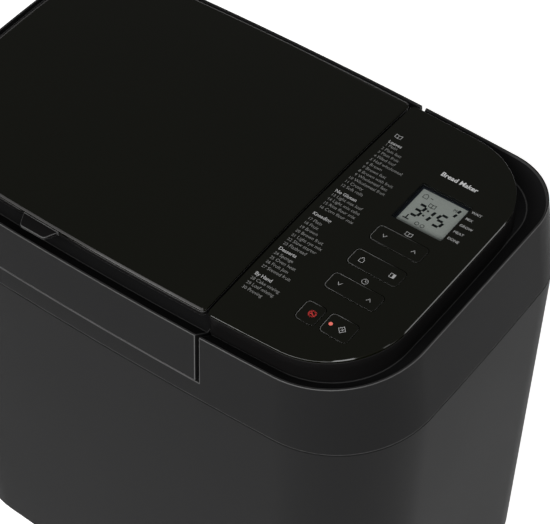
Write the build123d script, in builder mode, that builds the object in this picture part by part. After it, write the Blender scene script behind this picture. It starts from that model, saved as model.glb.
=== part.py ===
from build123d import *

import os

# A domestic bread machine, in millimetres. X runs to the right, towards the control side, Y to the
# rear, where the lid is hinged, and Z up from the surface that the feet stand on.

# Casing
WIDTH = 408.0
DEPTH = 252.0
HEIGHT = 362.0
FRONT_CORNER_R = 71.0  # round corners seen from above
REAR_CORNER_R = 51.0
BOW_FRONT = 6.0  # how far the front and rear faces bow out between the corners
BOW_SIDE = 2.5
CROWN = 4.7  # rise of the top surfaces from their front and rear edges to the middle
SIDE_TAPER = 16.6  # how far each end draws in from the parting to the foot
FRONT_TAPER = 4.4
SIDE_LEAN = 6.4  # and from the parting up to the rim
FRONT_LEAN = 4.3
WALL = 2.8
FIT = 0.3  # gap between shells that are assembled together
FOOT_H = 5.0
BASE_T = 2.5
BASE_RECESS = 1.0

# Levels, measured down from the top
PARTING_DROP = 70.0  # joint between the lower housing and the upper frame
DECK_DROP = 54.3  # deck that the lid closes on
RIM_DROP = 9.3  # rim of the band, at the middle of its crown
GUTTER_DROP = 22.1  # floor of the gutter
PARTING_GAP = 0.6
DECK_T = 3.0
GUTTER_T = 2.5
GUTTER_RISE = 8.0  # from the gutter's floor to the rim at the front
RIM_T = 1.2
TOP_INSET = 15.6  # from the casing's widest line to the raised top surfaces
TOP_END_INSET = 19.6
TOP_R = 58.0  # round corners of the top surfaces
CONTROL_W = 128.3  # width of the control side, from the right face to the gap beside the lid
TOP_GAP = 2.0  # between the lid cover and the control window
SLOT = 3.2  # between the lid's skirt and the upper frame
SKIRT_PAST = 0.5  # from the gap in the top surfaces to the end of the lid's skirt
TOP_CORNER_R = 3.5

# Lid
LID_CLEAR = 0.6  # between the deck and the lid's skirt
LID_T = 2.5
COVER_T = 2.2  # glossy sheet of the cover and of the control side
COVER_DROP = 9.3  # underside of the cover
REST_INSET = 10.0  # ring that the cover rests on, in from the cover's edge
REST_T = 2.5
TAB_ROOT = 28.0
TAB_TIP = 19.6
TAB_REACH = 8.2
TAB_T = 2.6
HINGE_SPREAD = 60.0  # each hinge, from the middle of the lid
HINGE_R = 3.5
HINGE_PIN_R = 1.6
HINGE_W = 12.0
HINGE_GAP = 0.4
RUN_CLEAR = 0.05  # radial clearance of a turning fit
LID_HINGE_IN = 8.0  # lid hinge axis, in from the rear face
LID_HINGE_UP = 4.3  # and up from the deck
COVER_HINGE_IN = 20.5
COVER_HINGE_DROP = 13.0
COVER_HINGE_R = 3.0
HINGE_RELIEF = 12.5  # height of the rear cut under the skirt
SCREW_R = 1.6
SCREW_HEAD_R = 3.4
SCREW_HEAD_H = 2.2

# Baking chamber and pan
CHAMBER_MARGIN = 31.8  # insulation space at each end
CHAMBER_MARGIN_Y = 34.0
CHAMBER_R = 32.0
SHEET = 1.0
CHAMBER_UNDER = 12.0  # chamber floor above the chassis plate
CHAMBER_RIM_UP = 3.5  # chamber wall above the deck
FLANGE_W = 7.0
PAN_AIR = 16.0
PAN_AIR_Y = 26.0
PAN_H = 140.0
PAN_R = 26.0
PAN_DRAFT = 4.0
PAN_WALL = 1.2
PAN_LIP = 2.5
PAN_SEAT = 22.0  # pan floor above the chassis side of the chamber floor
HOLDER_R = 42.0
HOLDER_BORE = 30.0
HOLDER_H = 15.0
RING_CLEAR = 0.8
SHAFT_R = 5.0
BEARING_R = 11.0
COUPLING_R = 16.0
DOG_R = 2.4
DOG_OFFSET = 10.0
SPINDLE_R = 4.0
WING_L = 28.0
WING_W = 5.0
BUSH_R = 8.0
BLADE_REACH = 46.0
BLADE_T = 3.0
BAIL_R = 2.3
BAIL_DROP = 8.0  # pivot below the pan's lip
BAIL_REACH = 74.0
HEATER_R = 3.25
HEATER_IN = 8.0
HEATER_UP = 38.0

# Drive under the chamber
CHASSIS_UP = 39.5  # chassis plate above the base plate
CHASSIS_T = 2.0
MOTOR_IN = 80.0  # motor axis, in from the right face
MOTOR_R = 30.0
MOTOR_H = 64.0
MOTOR_SHAFT_R = 3.0
GROMMET_H = 4.0
PULLEY_R = 46.0
MOTOR_PULLEY_R = 9.0
PULLEY_H = 10.0
BELT_W = 6.0
BELT_T = 2.5
BELT_CLEAR = 0.35

# Control side
KEY_IN = 63.6  # middle of the key column, in from the right face
KEY_L = 37.2
KEY_H = 13.8
KEY_GAP = 0.4
KEY_R = 3.0
KEY_ROWS = {"select_key": 1.5, "option_key": -22.3, "timer_key": -45.8}
STOP_KEY = (-11.9, -74.0, 14.4, 15.8)  # across and along from the column, length and height
START_KEY = (9.0, -73.8, 20.2, 16.0)
KEY_DEPTH = 7.5
LIGHT_R = 1.3
LIGHT_IN = 6.2
LCD_AT = (1.0, 35.8)
LCD_SIZE = (37.4, 35.8)
LCD_BORDER = 2.0
LCD_DEPTH = 3.7  # display below the window's surface
LENS_T = 1.3
LCD_R = 1.0
DECK_UNDER = 2.0
BOARD_DROP = 14.6
BOARD_T = 1.6
SWITCH = 6.0
SWITCH_H = 3.5

# Dispenser
BIN_L = 108.0
BIN_W = 38.0
BIN_Y = 68.0  # middle of the bin, behind the machine's middle plane
BIN_T = 1.5
BIN_LIP = 4.0
LINER_UP = 6.5  # lid liner above the deck
FLAP_T = 1.4
FLAP_PIN_R = 1.2
FLAP_PIN_BACK = 90.0

# Levels and places worked out from the sizes above
BASE_Z = FOOT_H
BASE_LOW = BASE_Z + BASE_RECESS
BASE_TOP = BASE_LOW + BASE_T
PARTING_Z = HEIGHT - PARTING_DROP
DECK_Z = HEIGHT - DECK_DROP
RIM_Z = HEIGHT - RIM_DROP
GUTTER_Z = HEIGHT - GUTTER_DROP
COVER_LOW = HEIGHT - COVER_DROP
SPLIT_X = WIDTH / 2 - CONTROL_W
LID_END_X = SPLIT_X - TOP_GAP / 2
PANEL_X = SPLIT_X + TOP_GAP / 2
SKIRT_END_X = SPLIT_X + SKIRT_PAST
FRAME_END_X = SKIRT_END_X + SLOT
LID_X = (SPLIT_X - WIDTH / 2) / 2
CHAMBER_L = SPLIT_X + WIDTH / 2 - 2 * CHAMBER_MARGIN
CHAMBER_W = DEPTH - 2 * CHAMBER_MARGIN_Y
CHASSIS_Z = BASE_TOP + CHASSIS_UP
CHASSIS_TOP = CHASSIS_Z + CHASSIS_T
FLOOR_Z = CHASSIS_TOP + CHAMBER_UNDER
FLOOR_TOP = FLOOR_Z + SHEET
PAN_L = CHAMBER_L - 2 * PAN_AIR
PAN_W = CHAMBER_W - 2 * PAN_AIR_Y
PAN_Z = FLOOR_Z + PAN_SEAT
PAN_TOP = PAN_Z + PAN_H
BAIL_Z = PAN_TOP - BAIL_DROP
MOTOR_X = WIDTH / 2 - MOTOR_IN
KEY_X = WIDTH / 2 - KEY_IN
LINER_Z = DECK_Z + LINER_UP
FAR = 600.0


def outline(inset=0.0, end_inset=None, front_r=None, rear_r=None):
    """Plan of the casing: four bowed sides joined by round corners, drawn in by an inset."""
    if end_inset is None:
        end_inset = inset
    if front_r is None:
        front_r, rear_r = FRONT_CORNER_R - inset, REAR_CORNER_R - inset
    x = WIDTH / 2 - BOW_SIDE - end_inset
    y = DEPTH / 2 - BOW_FRONT - inset
    with BuildSketch() as plan:
        with BuildLine():
            ThreePointArc((-x, -y), (0, -y - BOW_FRONT), (x, -y))
            ThreePointArc((x, -y), (x + BOW_SIDE, 0), (x, y))
            ThreePointArc((x, y), (0, y + BOW_FRONT), (-x, y))
            ThreePointArc((-x, y), (-x - BOW_SIDE, 0), (-x, -y))
        make_face()
        fillet(plan.vertices().group_by(Axis.Y)[0], front_r)
        fillet(plan.vertices().group_by(Axis.Y)[-1], rear_r)
    return plan.sketch


def top_plan(inset=0.0):
    """Plan of the raised top surfaces, drawn in by an inset."""
    radius = TOP_R - inset
    return outline(TOP_INSET + inset, TOP_END_INSET + inset, radius, radius)


def part_of(plan, low_x, high_x, corner=0.0):
    """The stretch of a plan between two X values, its cut corners rounded."""
    with BuildSketch() as piece:
        add(plan)
        with Locations(((low_x + high_x) / 2, 0)):
            Rectangle(high_x - low_x, FAR, mode=Mode.INTERSECT)
        if corner:
            cut = [v for v in piece.vertices() if min(abs(v.X - low_x), abs(v.X - high_x)) < 0.01]
            fillet(cut, corner)
    return piece.sketch


def rounded(length, width, radius, x=0.0, y=0.0):
    """A rounded rectangle about a point."""
    with BuildSketch() as plan:
        with Locations((x, y)):
            RectangleRounded(length, width, radius)
    return plan.sketch


def oblong(length, width, x=0.0, y=0.0):
    """A plain rectangle about a point."""
    with BuildSketch() as plan:
        with Locations((x, y)):
            Rectangle(length, width)
    return plan.sketch


def discs(radius, *places):
    """Equal discs about one or more points."""
    with BuildSketch() as plan:
        with Locations(*places):
            Circle(radius)
    return plan.sketch


def prism(plan, low, high):
    """The solid over a plan between two heights."""
    with BuildPart() as solid:
        with BuildSketch(Plane.XY.offset(low)):
            add(plan)
        extrude(amount=high - low)
    return solid.part


def under_crown(top):
    """Everything below a top surface that is crowned from front to rear."""
    with BuildPart() as space:
        with BuildSketch(Plane.YZ.offset(-FAR / 2)):
            with BuildLine():
                edge = top - CROWN
                ThreePointArc((-DEPTH / 2, edge), (0, top), (DEPTH / 2, edge))
                Polyline((DEPTH / 2, edge), (DEPTH / 2, -1), (-DEPTH / 2, -1), (-DEPTH / 2, edge))
            make_face()
        extrude(amount=FAR)
    return space.part


def side_plan(z, inset=0.0):
    """Plan of the lower housing at a height, where both ends and both faces draw in downwards."""
    share = (PARTING_Z - z) / (PARTING_Z - BASE_Z)
    return outline(inset + FRONT_TAPER * share, inset + SIDE_TAPER * share)


def tapered(low, high, inset=0.0):
    """The lower housing's tapered form between two heights."""
    with BuildPart() as form:
        with BuildSketch(Plane.XY.offset(low)):
            add(side_plan(low, inset))
        with BuildSketch(Plane.XY.offset(high)):
            add(side_plan(high, inset))
        loft(ruled=True)
    return form.part


def band(low, high, inset=0.0):
    """The casing's form above the parting, leaning in towards the rim, between two heights."""
    with BuildPart() as form:
        with BuildSketch(Plane.XY.offset(PARTING_Z)):
            add(outline(inset))
        with BuildSketch(Plane.XY.offset(RIM_Z)):
            add(outline(inset + FRONT_LEAN, inset + SIDE_LEAN))
        loft(ruled=True)
        add(block((-FAR, -FAR, low), (FAR, FAR, high)), mode=Mode.INTERSECT)
    return form.part


def stretch(form, low_x, high_x):
    """The stretch of a form between two X values."""
    with BuildPart() as piece:
        add(form)
        add(block((low_x, -FAR, -FAR), (high_x, FAR, FAR)), mode=Mode.INTERSECT)
    return piece.part


def basin():
    """The space above the gutter: it slopes up and out from the gutter's floor to the rim."""
    rim = GUTTER_Z + GUTTER_RISE
    with BuildPart() as space:
        with BuildSketch(Plane.XY.offset(GUTTER_Z)):
            add(outline(TOP_INSET, TOP_END_INSET))
        with BuildSketch(Plane.XY.offset(rim)):
            add(outline(FRONT_LEAN + RIM_T, SIDE_LEAN + RIM_T))
        loft(ruled=True)
        add(prism(outline(FRONT_LEAN + RIM_T, SIDE_LEAN + RIM_T), rim, HEIGHT + 1))
    return space.part


def rod(radius, start, end):
    """A round bar along X between two points."""
    with BuildPart() as bar:
        with BuildSketch(Plane(origin=start, z_dir=(1, 0, 0))):
            Circle(radius)
        extrude(amount=end[0] - start[0])
    return bar.part


def block(low, high):
    """A box between its lowest and highest corners."""
    plan = oblong(high[0] - low[0], high[1] - low[1], (low[0] + high[0]) / 2, (low[1] + high[1]) / 2)
    return prism(plan, low[2], high[2])


def finish(name, piece):
    """Label a finished piece and write its file."""
    piece.label = name
    export_step(piece, f"parts/{name}.step")


os.makedirs("parts", exist_ok=True)

# Lower housing: a tapered shell, open at the top and the bottom, with screw bosses for the base plate
BOSSES = [(x * WIDTH / 2 + dx, y * (DEPTH / 2 - 21)) for x, dx in ((-1, 90), (1, -90)) for y in (-1, 1)]
GLAND_X = WIDTH / 2 - 104
GLAND_Z = BASE_TOP + 32
GLAND_R = 7.0
with BuildPart() as lower_housing:
    add(tapered(BASE_Z, PARTING_Z))
    add(tapered(BASE_Z - 1, PARTING_Z + 1, WALL), mode=Mode.SUBTRACT)
    for x, y in BOSSES:
        side = 1 if y > 0 else -1
        reach = DEPTH / 2 - 12 - abs(y)
        with BuildPart(mode=Mode.PRIVATE) as boss:
            add(prism(discs(5, (x, y)), BASE_TOP, BASE_TOP + 18))
            add(prism(oblong(4, reach + 8, x, y + side * (reach + 8) / 2), BASE_TOP, BASE_TOP + 18))
            add(tapered(BASE_Z, PARTING_Z, WALL / 2), mode=Mode.INTERSECT)
        add(boss.part)
    add(prism(discs(SCREW_R, *BOSSES), BASE_TOP, BASE_TOP + 12), mode=Mode.SUBTRACT)
    with BuildSketch(Plane(origin=(GLAND_X, DEPTH / 2 - 20, GLAND_Z), z_dir=(0, 1, 0))):
        Circle(GLAND_R)
    extrude(amount=40, mode=Mode.SUBTRACT)
finish("lower_housing", lower_housing.part)

# Base plate with vents, the posts that carry the chassis, and its screws
POSTS = [(LID_X - 72, -48), (LID_X - 72, 48), (LID_X + 72, -48), (LID_X + 72, 48)]
POSTS += [(MOTOR_X + 34, -48), (MOTOR_X + 34, 48)]
FEET = [(x * (WIDTH / 2 - 66), y * (DEPTH / 2 - 40)) for x in (-1, 1) for y in (-1, 1)]
with BuildPart() as base_plate:
    with BuildSketch(Plane.XY.offset(BASE_LOW)):
        add(side_plan(BASE_LOW, WALL + FIT))
        with Locations((LID_X, 0), (MOTOR_X, 0)):
            with GridLocations(12, 0, 6, 1):
                SlotOverall(60, 4, rotation=90, mode=Mode.SUBTRACT)
        with Locations(*BOSSES):
            Circle(SCREW_R, mode=Mode.SUBTRACT)
    extrude(amount=BASE_T)
    add(prism(discs(6, *POSTS), BASE_TOP, CHASSIS_Z))
    add(prism(discs(SCREW_R, *POSTS), CHASSIS_Z - 10, CHASSIS_Z), mode=Mode.SUBTRACT)
finish("base_plate", base_plate.part)

with BuildPart() as rubber_feet:
    with BuildSketch():
        with Locations(*FEET):
            Circle(11)
    extrude(amount=BASE_LOW, taper=-8)
finish("rubber_feet", rubber_feet.part)

# Cord gland in the rear wall
with BuildPart() as cord_gland:
    with BuildSketch(Plane(origin=(GLAND_X, DEPTH / 2 - 12, GLAND_Z), z_dir=(0, 1, 0))):
        Circle(GLAND_R - 0.1)
    extrude(amount=10.8)
    with BuildSketch(Plane(origin=(GLAND_X, DEPTH / 2 - 12, GLAND_Z), z_dir=(0, 1, 0))):
        Circle(GLAND_R + 2.5)
    extrude(amount=3)
    with BuildSketch(Plane(origin=(GLAND_X, DEPTH / 2 - 12, GLAND_Z), z_dir=(0, 1, 0))):
        Circle(3.6)
    extrude(amount=20, mode=Mode.SUBTRACT)
finish("cord_gland", cord_gland.part)

# Upper frame: the band, the deck round the chamber, and the hollow control side with its gutter
LID_HINGE_Y = DEPTH / 2 - LID_HINGE_IN
LID_HINGE_Z = DECK_Z + LID_HINGE_UP
LID_HINGES = [LID_X - HINGE_SPREAD, LID_X + HINGE_SPREAD]
with BuildPart() as upper_frame:
    add(band(PARTING_Z + PARTING_GAP, DECK_Z))
    add(band(PARTING_Z, DECK_Z - DECK_T, WALL), mode=Mode.SUBTRACT)
    add(stretch(band(DECK_Z, RIM_Z), FRAME_END_X, FAR / 2))
    add(stretch(band(PARTING_Z, GUTTER_Z - GUTTER_T, WALL), FRAME_END_X + WALL, FAR / 2),
        mode=Mode.SUBTRACT)
    add(basin(), mode=Mode.SUBTRACT)
    add(prism(part_of(top_plan(7), PANEL_X + 7, FAR / 2), GUTTER_Z - 5, GUTTER_Z + 1),
        mode=Mode.SUBTRACT)
    opening = 2 * (SHEET + FIT)
    add(prism(rounded(CHAMBER_L + opening, CHAMBER_W + opening, CHAMBER_R + opening / 2, LID_X),
              DECK_Z - 10, DECK_Z + 1), mode=Mode.SUBTRACT)
    add(under_crown(RIM_Z), mode=Mode.INTERSECT)
    for x in LID_HINGES:
        for side in (-1, 1):
            near = x + side * (HINGE_W / 2 + HINGE_GAP) - (HINGE_W if side < 0 else 0)
            add(rod(HINGE_R, (near, LID_HINGE_Y, LID_HINGE_Z), (near + HINGE_W, 0, 0)))
            add(block((near, LID_HINGE_Y - HINGE_R, DECK_Z - 1),
                      (near + HINGE_W, LID_HINGE_Y + HINGE_R, LID_HINGE_Z)))
    for x in LID_HINGES:
        start = x - 1.5 * HINGE_W - HINGE_GAP - 1
        add(rod(HINGE_PIN_R, (start, LID_HINGE_Y, LID_HINGE_Z), (start + 4 * HINGE_W, 0, 0)),
            mode=Mode.SUBTRACT)
    baffle_y = LID_HINGE_Y - HINGE_R - 3.5
    add(block((LID_HINGES[0] + 2 * HINGE_W, baffle_y, DECK_Z - 1),
              (LID_HINGES[1] - 2 * HINGE_W, baffle_y + 2, DECK_Z + 8)))
finish("upper_frame", upper_frame.part)

with BuildPart() as lid_hinge_pins:
    for x in LID_HINGES:
        start = x - 1.5 * HINGE_W - HINGE_GAP
        add(rod(HINGE_PIN_R, (start, LID_HINGE_Y, LID_HINGE_Z), (start + 3 * HINGE_W + 2 * HINGE_GAP, 0, 0)))
finish("lid_hinge_pins", lid_hinge_pins.part)

# Main lid: skirt, gutter, platform and the ring that the cover rests on
BIN_HOLE = (BIN_L + 2 * FIT, BIN_W + 2 * FIT)
LID_POSTS = [(LID_X + dx, y) for dx in (-95, 95) for y in (-76, 66)]
COVER_HINGE_Y = DEPTH / 2 - COVER_HINGE_IN
COVER_HINGE_Z = HEIGHT - COVER_HINGE_DROP
with BuildPart() as lid_base:
    add(stretch(band(DECK_Z + LID_CLEAR, RIM_Z), -FAR / 2, SKIRT_END_X))
    add(stretch(band(DECK_Z, GUTTER_Z - LID_T, WALL), -FAR / 2, SKIRT_END_X - WALL), mode=Mode.SUBTRACT)
    add(basin(), mode=Mode.SUBTRACT)
    add(under_crown(RIM_Z), mode=Mode.INTERSECT)
    add(block((-FAR / 2, LID_HINGE_Y - 1.5, DECK_Z), (FRAME_END_X, DEPTH, DECK_Z + HINGE_RELIEF)),
        mode=Mode.SUBTRACT)
    with BuildPart(mode=Mode.PRIVATE) as rest_ring:
        add(prism(part_of(top_plan(REST_INSET), -FAR / 2, LID_END_X - REST_INSET), GUTTER_Z - 1,
                  COVER_LOW - FIT))
        add(prism(part_of(top_plan(REST_INSET + REST_T), -FAR / 2, LID_END_X - REST_INSET - REST_T),
                  GUTTER_Z - 2, COVER_LOW), mode=Mode.SUBTRACT)
    add(rest_ring.part)
    add(prism(discs(5, *LID_POSTS), LINER_Z + SHEET, GUTTER_Z - 1))
    add(prism(discs(SCREW_R, *LID_POSTS), LINER_Z, LINER_Z + 10), mode=Mode.SUBTRACT)
    add(prism(oblong(*BIN_HOLE, LID_X, BIN_Y), GUTTER_Z - 5, GUTTER_Z + 1), mode=Mode.SUBTRACT)
    for x in LID_HINGES:
        near = x - HINGE_W / 2
        add(rod(HINGE_R, (near, LID_HINGE_Y, LID_HINGE_Z), (near + HINGE_W, 0, 0)))
        add(block((near, LID_HINGE_Y - 3, LID_HINGE_Z),
                  (near + HINGE_W, LID_HINGE_Y + 2.5, DECK_Z + HINGE_RELIEF + 10)))
        add(block((near, LID_HINGE_Y - 3, DECK_Z + HINGE_RELIEF),
                  (near + HINGE_W, DEPTH / 2 - WALL, DECK_Z + HINGE_RELIEF + 10)))
        add(rod(HINGE_PIN_R + RUN_CLEAR, (near - 1, LID_HINGE_Y, LID_HINGE_Z), (near + HINGE_W + 1, 0, 0)),
            mode=Mode.SUBTRACT)
        for side in (-1, 1):
            near = x + side * (HINGE_W / 2 + HINGE_GAP) - (HINGE_W if side < 0 else 0)
            add(rod(COVER_HINGE_R, (near, COVER_HINGE_Y, COVER_HINGE_Z), (near + HINGE_W, 0, 0)))
            add(block((near, COVER_HINGE_Y - COVER_HINGE_R, GUTTER_Z - 1),
                      (near + HINGE_W, COVER_HINGE_Y + COVER_HINGE_R, COVER_HINGE_Z)))
        start = x - 1.5 * HINGE_W - HINGE_GAP - 1
        add(rod(HINGE_PIN_R, (start, COVER_HINGE_Y, COVER_HINGE_Z), (start + 4 * HINGE_W, 0, 0)),
            mode=Mode.SUBTRACT)
finish("lid_base", lid_base.part)

# Lid liner with the dispenser's hole, its gasket and its screws
LINER_L = CHAMBER_L + 2 * (SHEET + FLANGE_W)
LINER_W = CHAMBER_W + 2 * (SHEET + FLANGE_W)
LINER_R = CHAMBER_R + SHEET + FLANGE_W
FLAP_HOLE = (BIN_L + 6, 46.0)
FLAP_HOLE_Y = FLAP_PIN_BACK - 19.0
with BuildPart() as lid_liner:
    with BuildSketch(Plane.XY.offset(LINER_Z)):
        add(rounded(LINER_L, LINER_W, LINER_R, LID_X))
        add(oblong(*FLAP_HOLE, LID_X, FLAP_HOLE_Y), mode=Mode.SUBTRACT)
        with Locations(*LID_POSTS):
            Circle(SCREW_R, mode=Mode.SUBTRACT)
    extrude(amount=SHEET)
finish("lid_liner", lid_liner.part)

with BuildPart() as lid_screws:
    add(prism(discs(SCREW_R, *LID_POSTS), LINER_Z, LINER_Z + 9))
    add(prism(discs(SCREW_HEAD_R, *LID_POSTS), LINER_Z - SCREW_HEAD_H, LINER_Z))
finish("lid_screws", lid_screws.part)

with BuildPart() as lid_gasket:
    with BuildSketch(Plane.XY.offset(DECK_Z + SHEET + FIT)):
        add(rounded(LINER_L - 1, LINER_W - 1, LINER_R - 0.5, LID_X))
        add(rounded(LINER_L - 11, LINER_W - 11, LINER_R - 5.5, LID_X), mode=Mode.SUBTRACT)
    extrude(amount=LINER_UP - SHEET - FIT)
finish("lid_gasket", lid_gasket.part)

# Dispenser bin, its drop flap and the flap's pin
BIN_LOW = LINER_Z + SHEET
FLAP_LOW = BIN_LOW - FIT - FLAP_T
FLAP_PIN_Z = BIN_LOW - FIT - FLAP_T / 2
FLAP_L = BIN_L - 6
EAR_T = 2.5
with BuildPart() as dispenser_bin:
    add(prism(oblong(BIN_L, BIN_W, LID_X, BIN_Y), BIN_LOW, GUTTER_Z + BIN_T))
    add(prism(oblong(BIN_L + 2 * BIN_LIP, BIN_W + 2 * BIN_LIP, LID_X, BIN_Y), GUTTER_Z, GUTTER_Z + BIN_T))
    add(prism(oblong(BIN_L - 2 * BIN_T, BIN_W - 2 * BIN_T, LID_X, BIN_Y), BIN_LOW - 1, GUTTER_Z + 5),
        mode=Mode.SUBTRACT)
    for side in (-1, 1):
        ear_x = LID_X + side * (FLAP_L / 2 + FIT + EAR_T / 2)
        add(block((ear_x - EAR_T / 2, BIN_Y + BIN_W / 2 - 4, FLAP_PIN_Z - 2.4),
                  (ear_x + EAR_T / 2, FLAP_PIN_BACK + 2.4, BIN_LOW + 6)))
    pin_end = FLAP_L / 2 + FIT + EAR_T + 1
    add(rod(FLAP_PIN_R, (LID_X - pin_end, FLAP_PIN_BACK, FLAP_PIN_Z), (LID_X + pin_end, 0, 0)),
        mode=Mode.SUBTRACT)
finish("dispenser_bin", dispenser_bin.part)

with BuildPart() as dispenser_flap:
    add(block((LID_X - FLAP_L / 2, BIN_Y - BIN_W / 2 + 1, FLAP_LOW),
              (LID_X + FLAP_L / 2, FLAP_PIN_BACK, FLAP_LOW + FLAP_T)))
    add(rod(2.2, (LID_X - FLAP_L / 2, FLAP_PIN_BACK, FLAP_PIN_Z), (LID_X + FLAP_L / 2, 0, 0)))
    add(rod(FLAP_PIN_R + RUN_CLEAR, (LID_X - FLAP_L, FLAP_PIN_BACK, FLAP_PIN_Z), (LID_X + FLAP_L, 0, 0)),
        mode=Mode.SUBTRACT)
finish("dispenser_flap", dispenser_flap.part)

with BuildPart() as flap_pin:
    pin_end = FLAP_L / 2 + FIT + EAR_T
    add(rod(FLAP_PIN_R, (LID_X - pin_end, FLAP_PIN_BACK, FLAP_PIN_Z), (LID_X + pin_end, 0, 0)))
finish("flap_pin", flap_pin.part)

# Solenoid that frees the flap, hung under the lid's platform, with its plunger
SOLENOID_W = 18.0
SOLENOID_H = 16.0
PLUNGER_R = 2.5
PLUNGER_TRAVEL = 3.0
SOLENOID_Z = GUTTER_Z - LID_T - SOLENOID_H / 2
SOLENOID_Y = BIN_Y - BIN_W / 2 - 26
with BuildPart() as dispenser_solenoid:
    add(block((LID_X - SOLENOID_W / 2, SOLENOID_Y - 12, SOLENOID_Z - SOLENOID_H / 2),
              (LID_X + SOLENOID_W / 2, SOLENOID_Y + 12, SOLENOID_Z + SOLENOID_H / 2)))
    with BuildSketch(Plane(origin=(LID_X, SOLENOID_Y - 6, SOLENOID_Z), z_dir=(0, 1, 0))):
        Circle(PLUNGER_R + RUN_CLEAR)
    extrude(amount=40, mode=Mode.SUBTRACT)
finish("dispenser_solenoid", dispenser_solenoid.part)

with BuildPart() as solenoid_plunger:
    with BuildSketch(Plane(origin=(LID_X, SOLENOID_Y - 6 + PLUNGER_TRAVEL + 0.5, SOLENOID_Z),
                           z_dir=(0, 1, 0))):
        Circle(PLUNGER_R)
    extrude(amount=BIN_Y - BIN_W / 2 - 0.5 - (SOLENOID_Y - 6 + PLUNGER_TRAVEL + 0.5))
finish("solenoid_plunger", solenoid_plunger.part)

# Lid cover: a glossy crowned sheet on a satin frame with the opening tab
with BuildPart() as lid_cover:
    plan = part_of(top_plan(), -FAR / 2, LID_END_X, TOP_CORNER_R)
    add(prism(plan, COVER_LOW, HEIGHT + 1))
    add(under_crown(HEIGHT), mode=Mode.INTERSECT)
    add(under_crown(HEIGHT - COVER_T), mode=Mode.SUBTRACT)
finish("lid_cover", lid_cover.part)

front_y = -(DEPTH / 2 - TOP_INSET)
tab_x = (LID_END_X + TOP_END_INSET - WIDTH / 2) / 2
with BuildPart() as cover_frame:
    add(prism(part_of(top_plan(0.4), -FAR / 2, LID_END_X - 0.4, TOP_CORNER_R), COVER_LOW,
              HEIGHT + 1))
    with BuildSketch(Plane.XY.offset(COVER_LOW + 0.6)) as tab:
        with BuildLine():
            Polyline((tab_x - TAB_ROOT / 2, front_y + 4), (tab_x - TAB_ROOT / 2, front_y),
                     (tab_x - TAB_TIP / 2, front_y - TAB_REACH), (tab_x + TAB_TIP / 2, front_y - TAB_REACH),
                     (tab_x + TAB_ROOT / 2, front_y), (tab_x + TAB_ROOT / 2, front_y + 4), close=True)
        make_face()
        fillet(tab.vertices().sort_by(Axis.Y)[:2], 3)
    extrude(amount=TAB_T)
    add(under_crown(HEIGHT - COVER_T), mode=Mode.INTERSECT)
    add(prism(part_of(top_plan(14), -FAR / 2, LID_END_X - 14), COVER_LOW - 1, COVER_LOW + 2.2),
        mode=Mode.SUBTRACT)
    for x in LID_HINGES:
        near = x - HINGE_W / 2
        add(rod(COVER_HINGE_R, (near, COVER_HINGE_Y, COVER_HINGE_Z), (near + HINGE_W, 0, 0)))
        add(block((near, COVER_HINGE_Y - 2, COVER_HINGE_Z),
                  (near + HINGE_W, COVER_HINGE_Y + 2, COVER_LOW + 1)))
        add(rod(HINGE_PIN_R + RUN_CLEAR, (near - 1, COVER_HINGE_Y, COVER_HINGE_Z),
                (near + HINGE_W + 1, 0, 0)), mode=Mode.SUBTRACT)
finish("cover_frame", cover_frame.part)

with BuildPart() as cover_hinge_pins:
    for x in LID_HINGES:
        start = x - 1.5 * HINGE_W - HINGE_GAP
        add(rod(HINGE_PIN_R, (start, COVER_HINGE_Y, COVER_HINGE_Z),
                (start + 3 * HINGE_W + 2 * HINGE_GAP, 0, 0)))
finish("cover_hinge_pins", cover_hinge_pins.part)

with BuildPart() as cover_seal:
    with BuildSketch(Plane.XY.offset(GUTTER_Z + BIN_T + FIT)):
        add(oblong(BIN_L + 4, BIN_W + 4, LID_X, BIN_Y))
        add(oblong(BIN_L - 2, BIN_W - 2, LID_X, BIN_Y), mode=Mode.SUBTRACT)
    extrude(amount=COVER_LOW + 2.2 - GUTTER_Z - BIN_T - FIT)
finish("cover_seal", cover_seal.part)

# Control side: raised housing, glossy window, keys, LCD and board
KEYS = {name: (KEY_X, y, KEY_L, KEY_H) for name, y in KEY_ROWS.items()}
KEYS["stop_key"] = (KEY_X + STOP_KEY[0], *STOP_KEY[1:])
KEYS["start_key"] = (KEY_X + START_KEY[0], *START_KEY[1:])
LCD_X = KEY_X + LCD_AT[0]
LCD_Y = LCD_AT[1]
BOARD_TOP = HEIGHT - BOARD_DROP + BOARD_T
BOARD_POSTS = [(KEY_X - 38, -78), (KEY_X + 16, -59), (KEY_X - 38, 70), (KEY_X + 16, 70)]
PANEL_PLAN = part_of(top_plan(), PANEL_X, FAR / 2, TOP_CORNER_R)


def key_cuts(gap):
    """The keys' and the LCD's openings, a gap larger all round."""
    with BuildSketch() as cuts:
        for x, y, length, height in KEYS.values():
            add(rounded(length + 2 * gap, height + 2 * gap, KEY_R + gap, x, y))
        add(rounded(LCD_SIZE[0], LCD_SIZE[1], LCD_R, LCD_X, LCD_Y))
    return cuts.sketch


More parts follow.
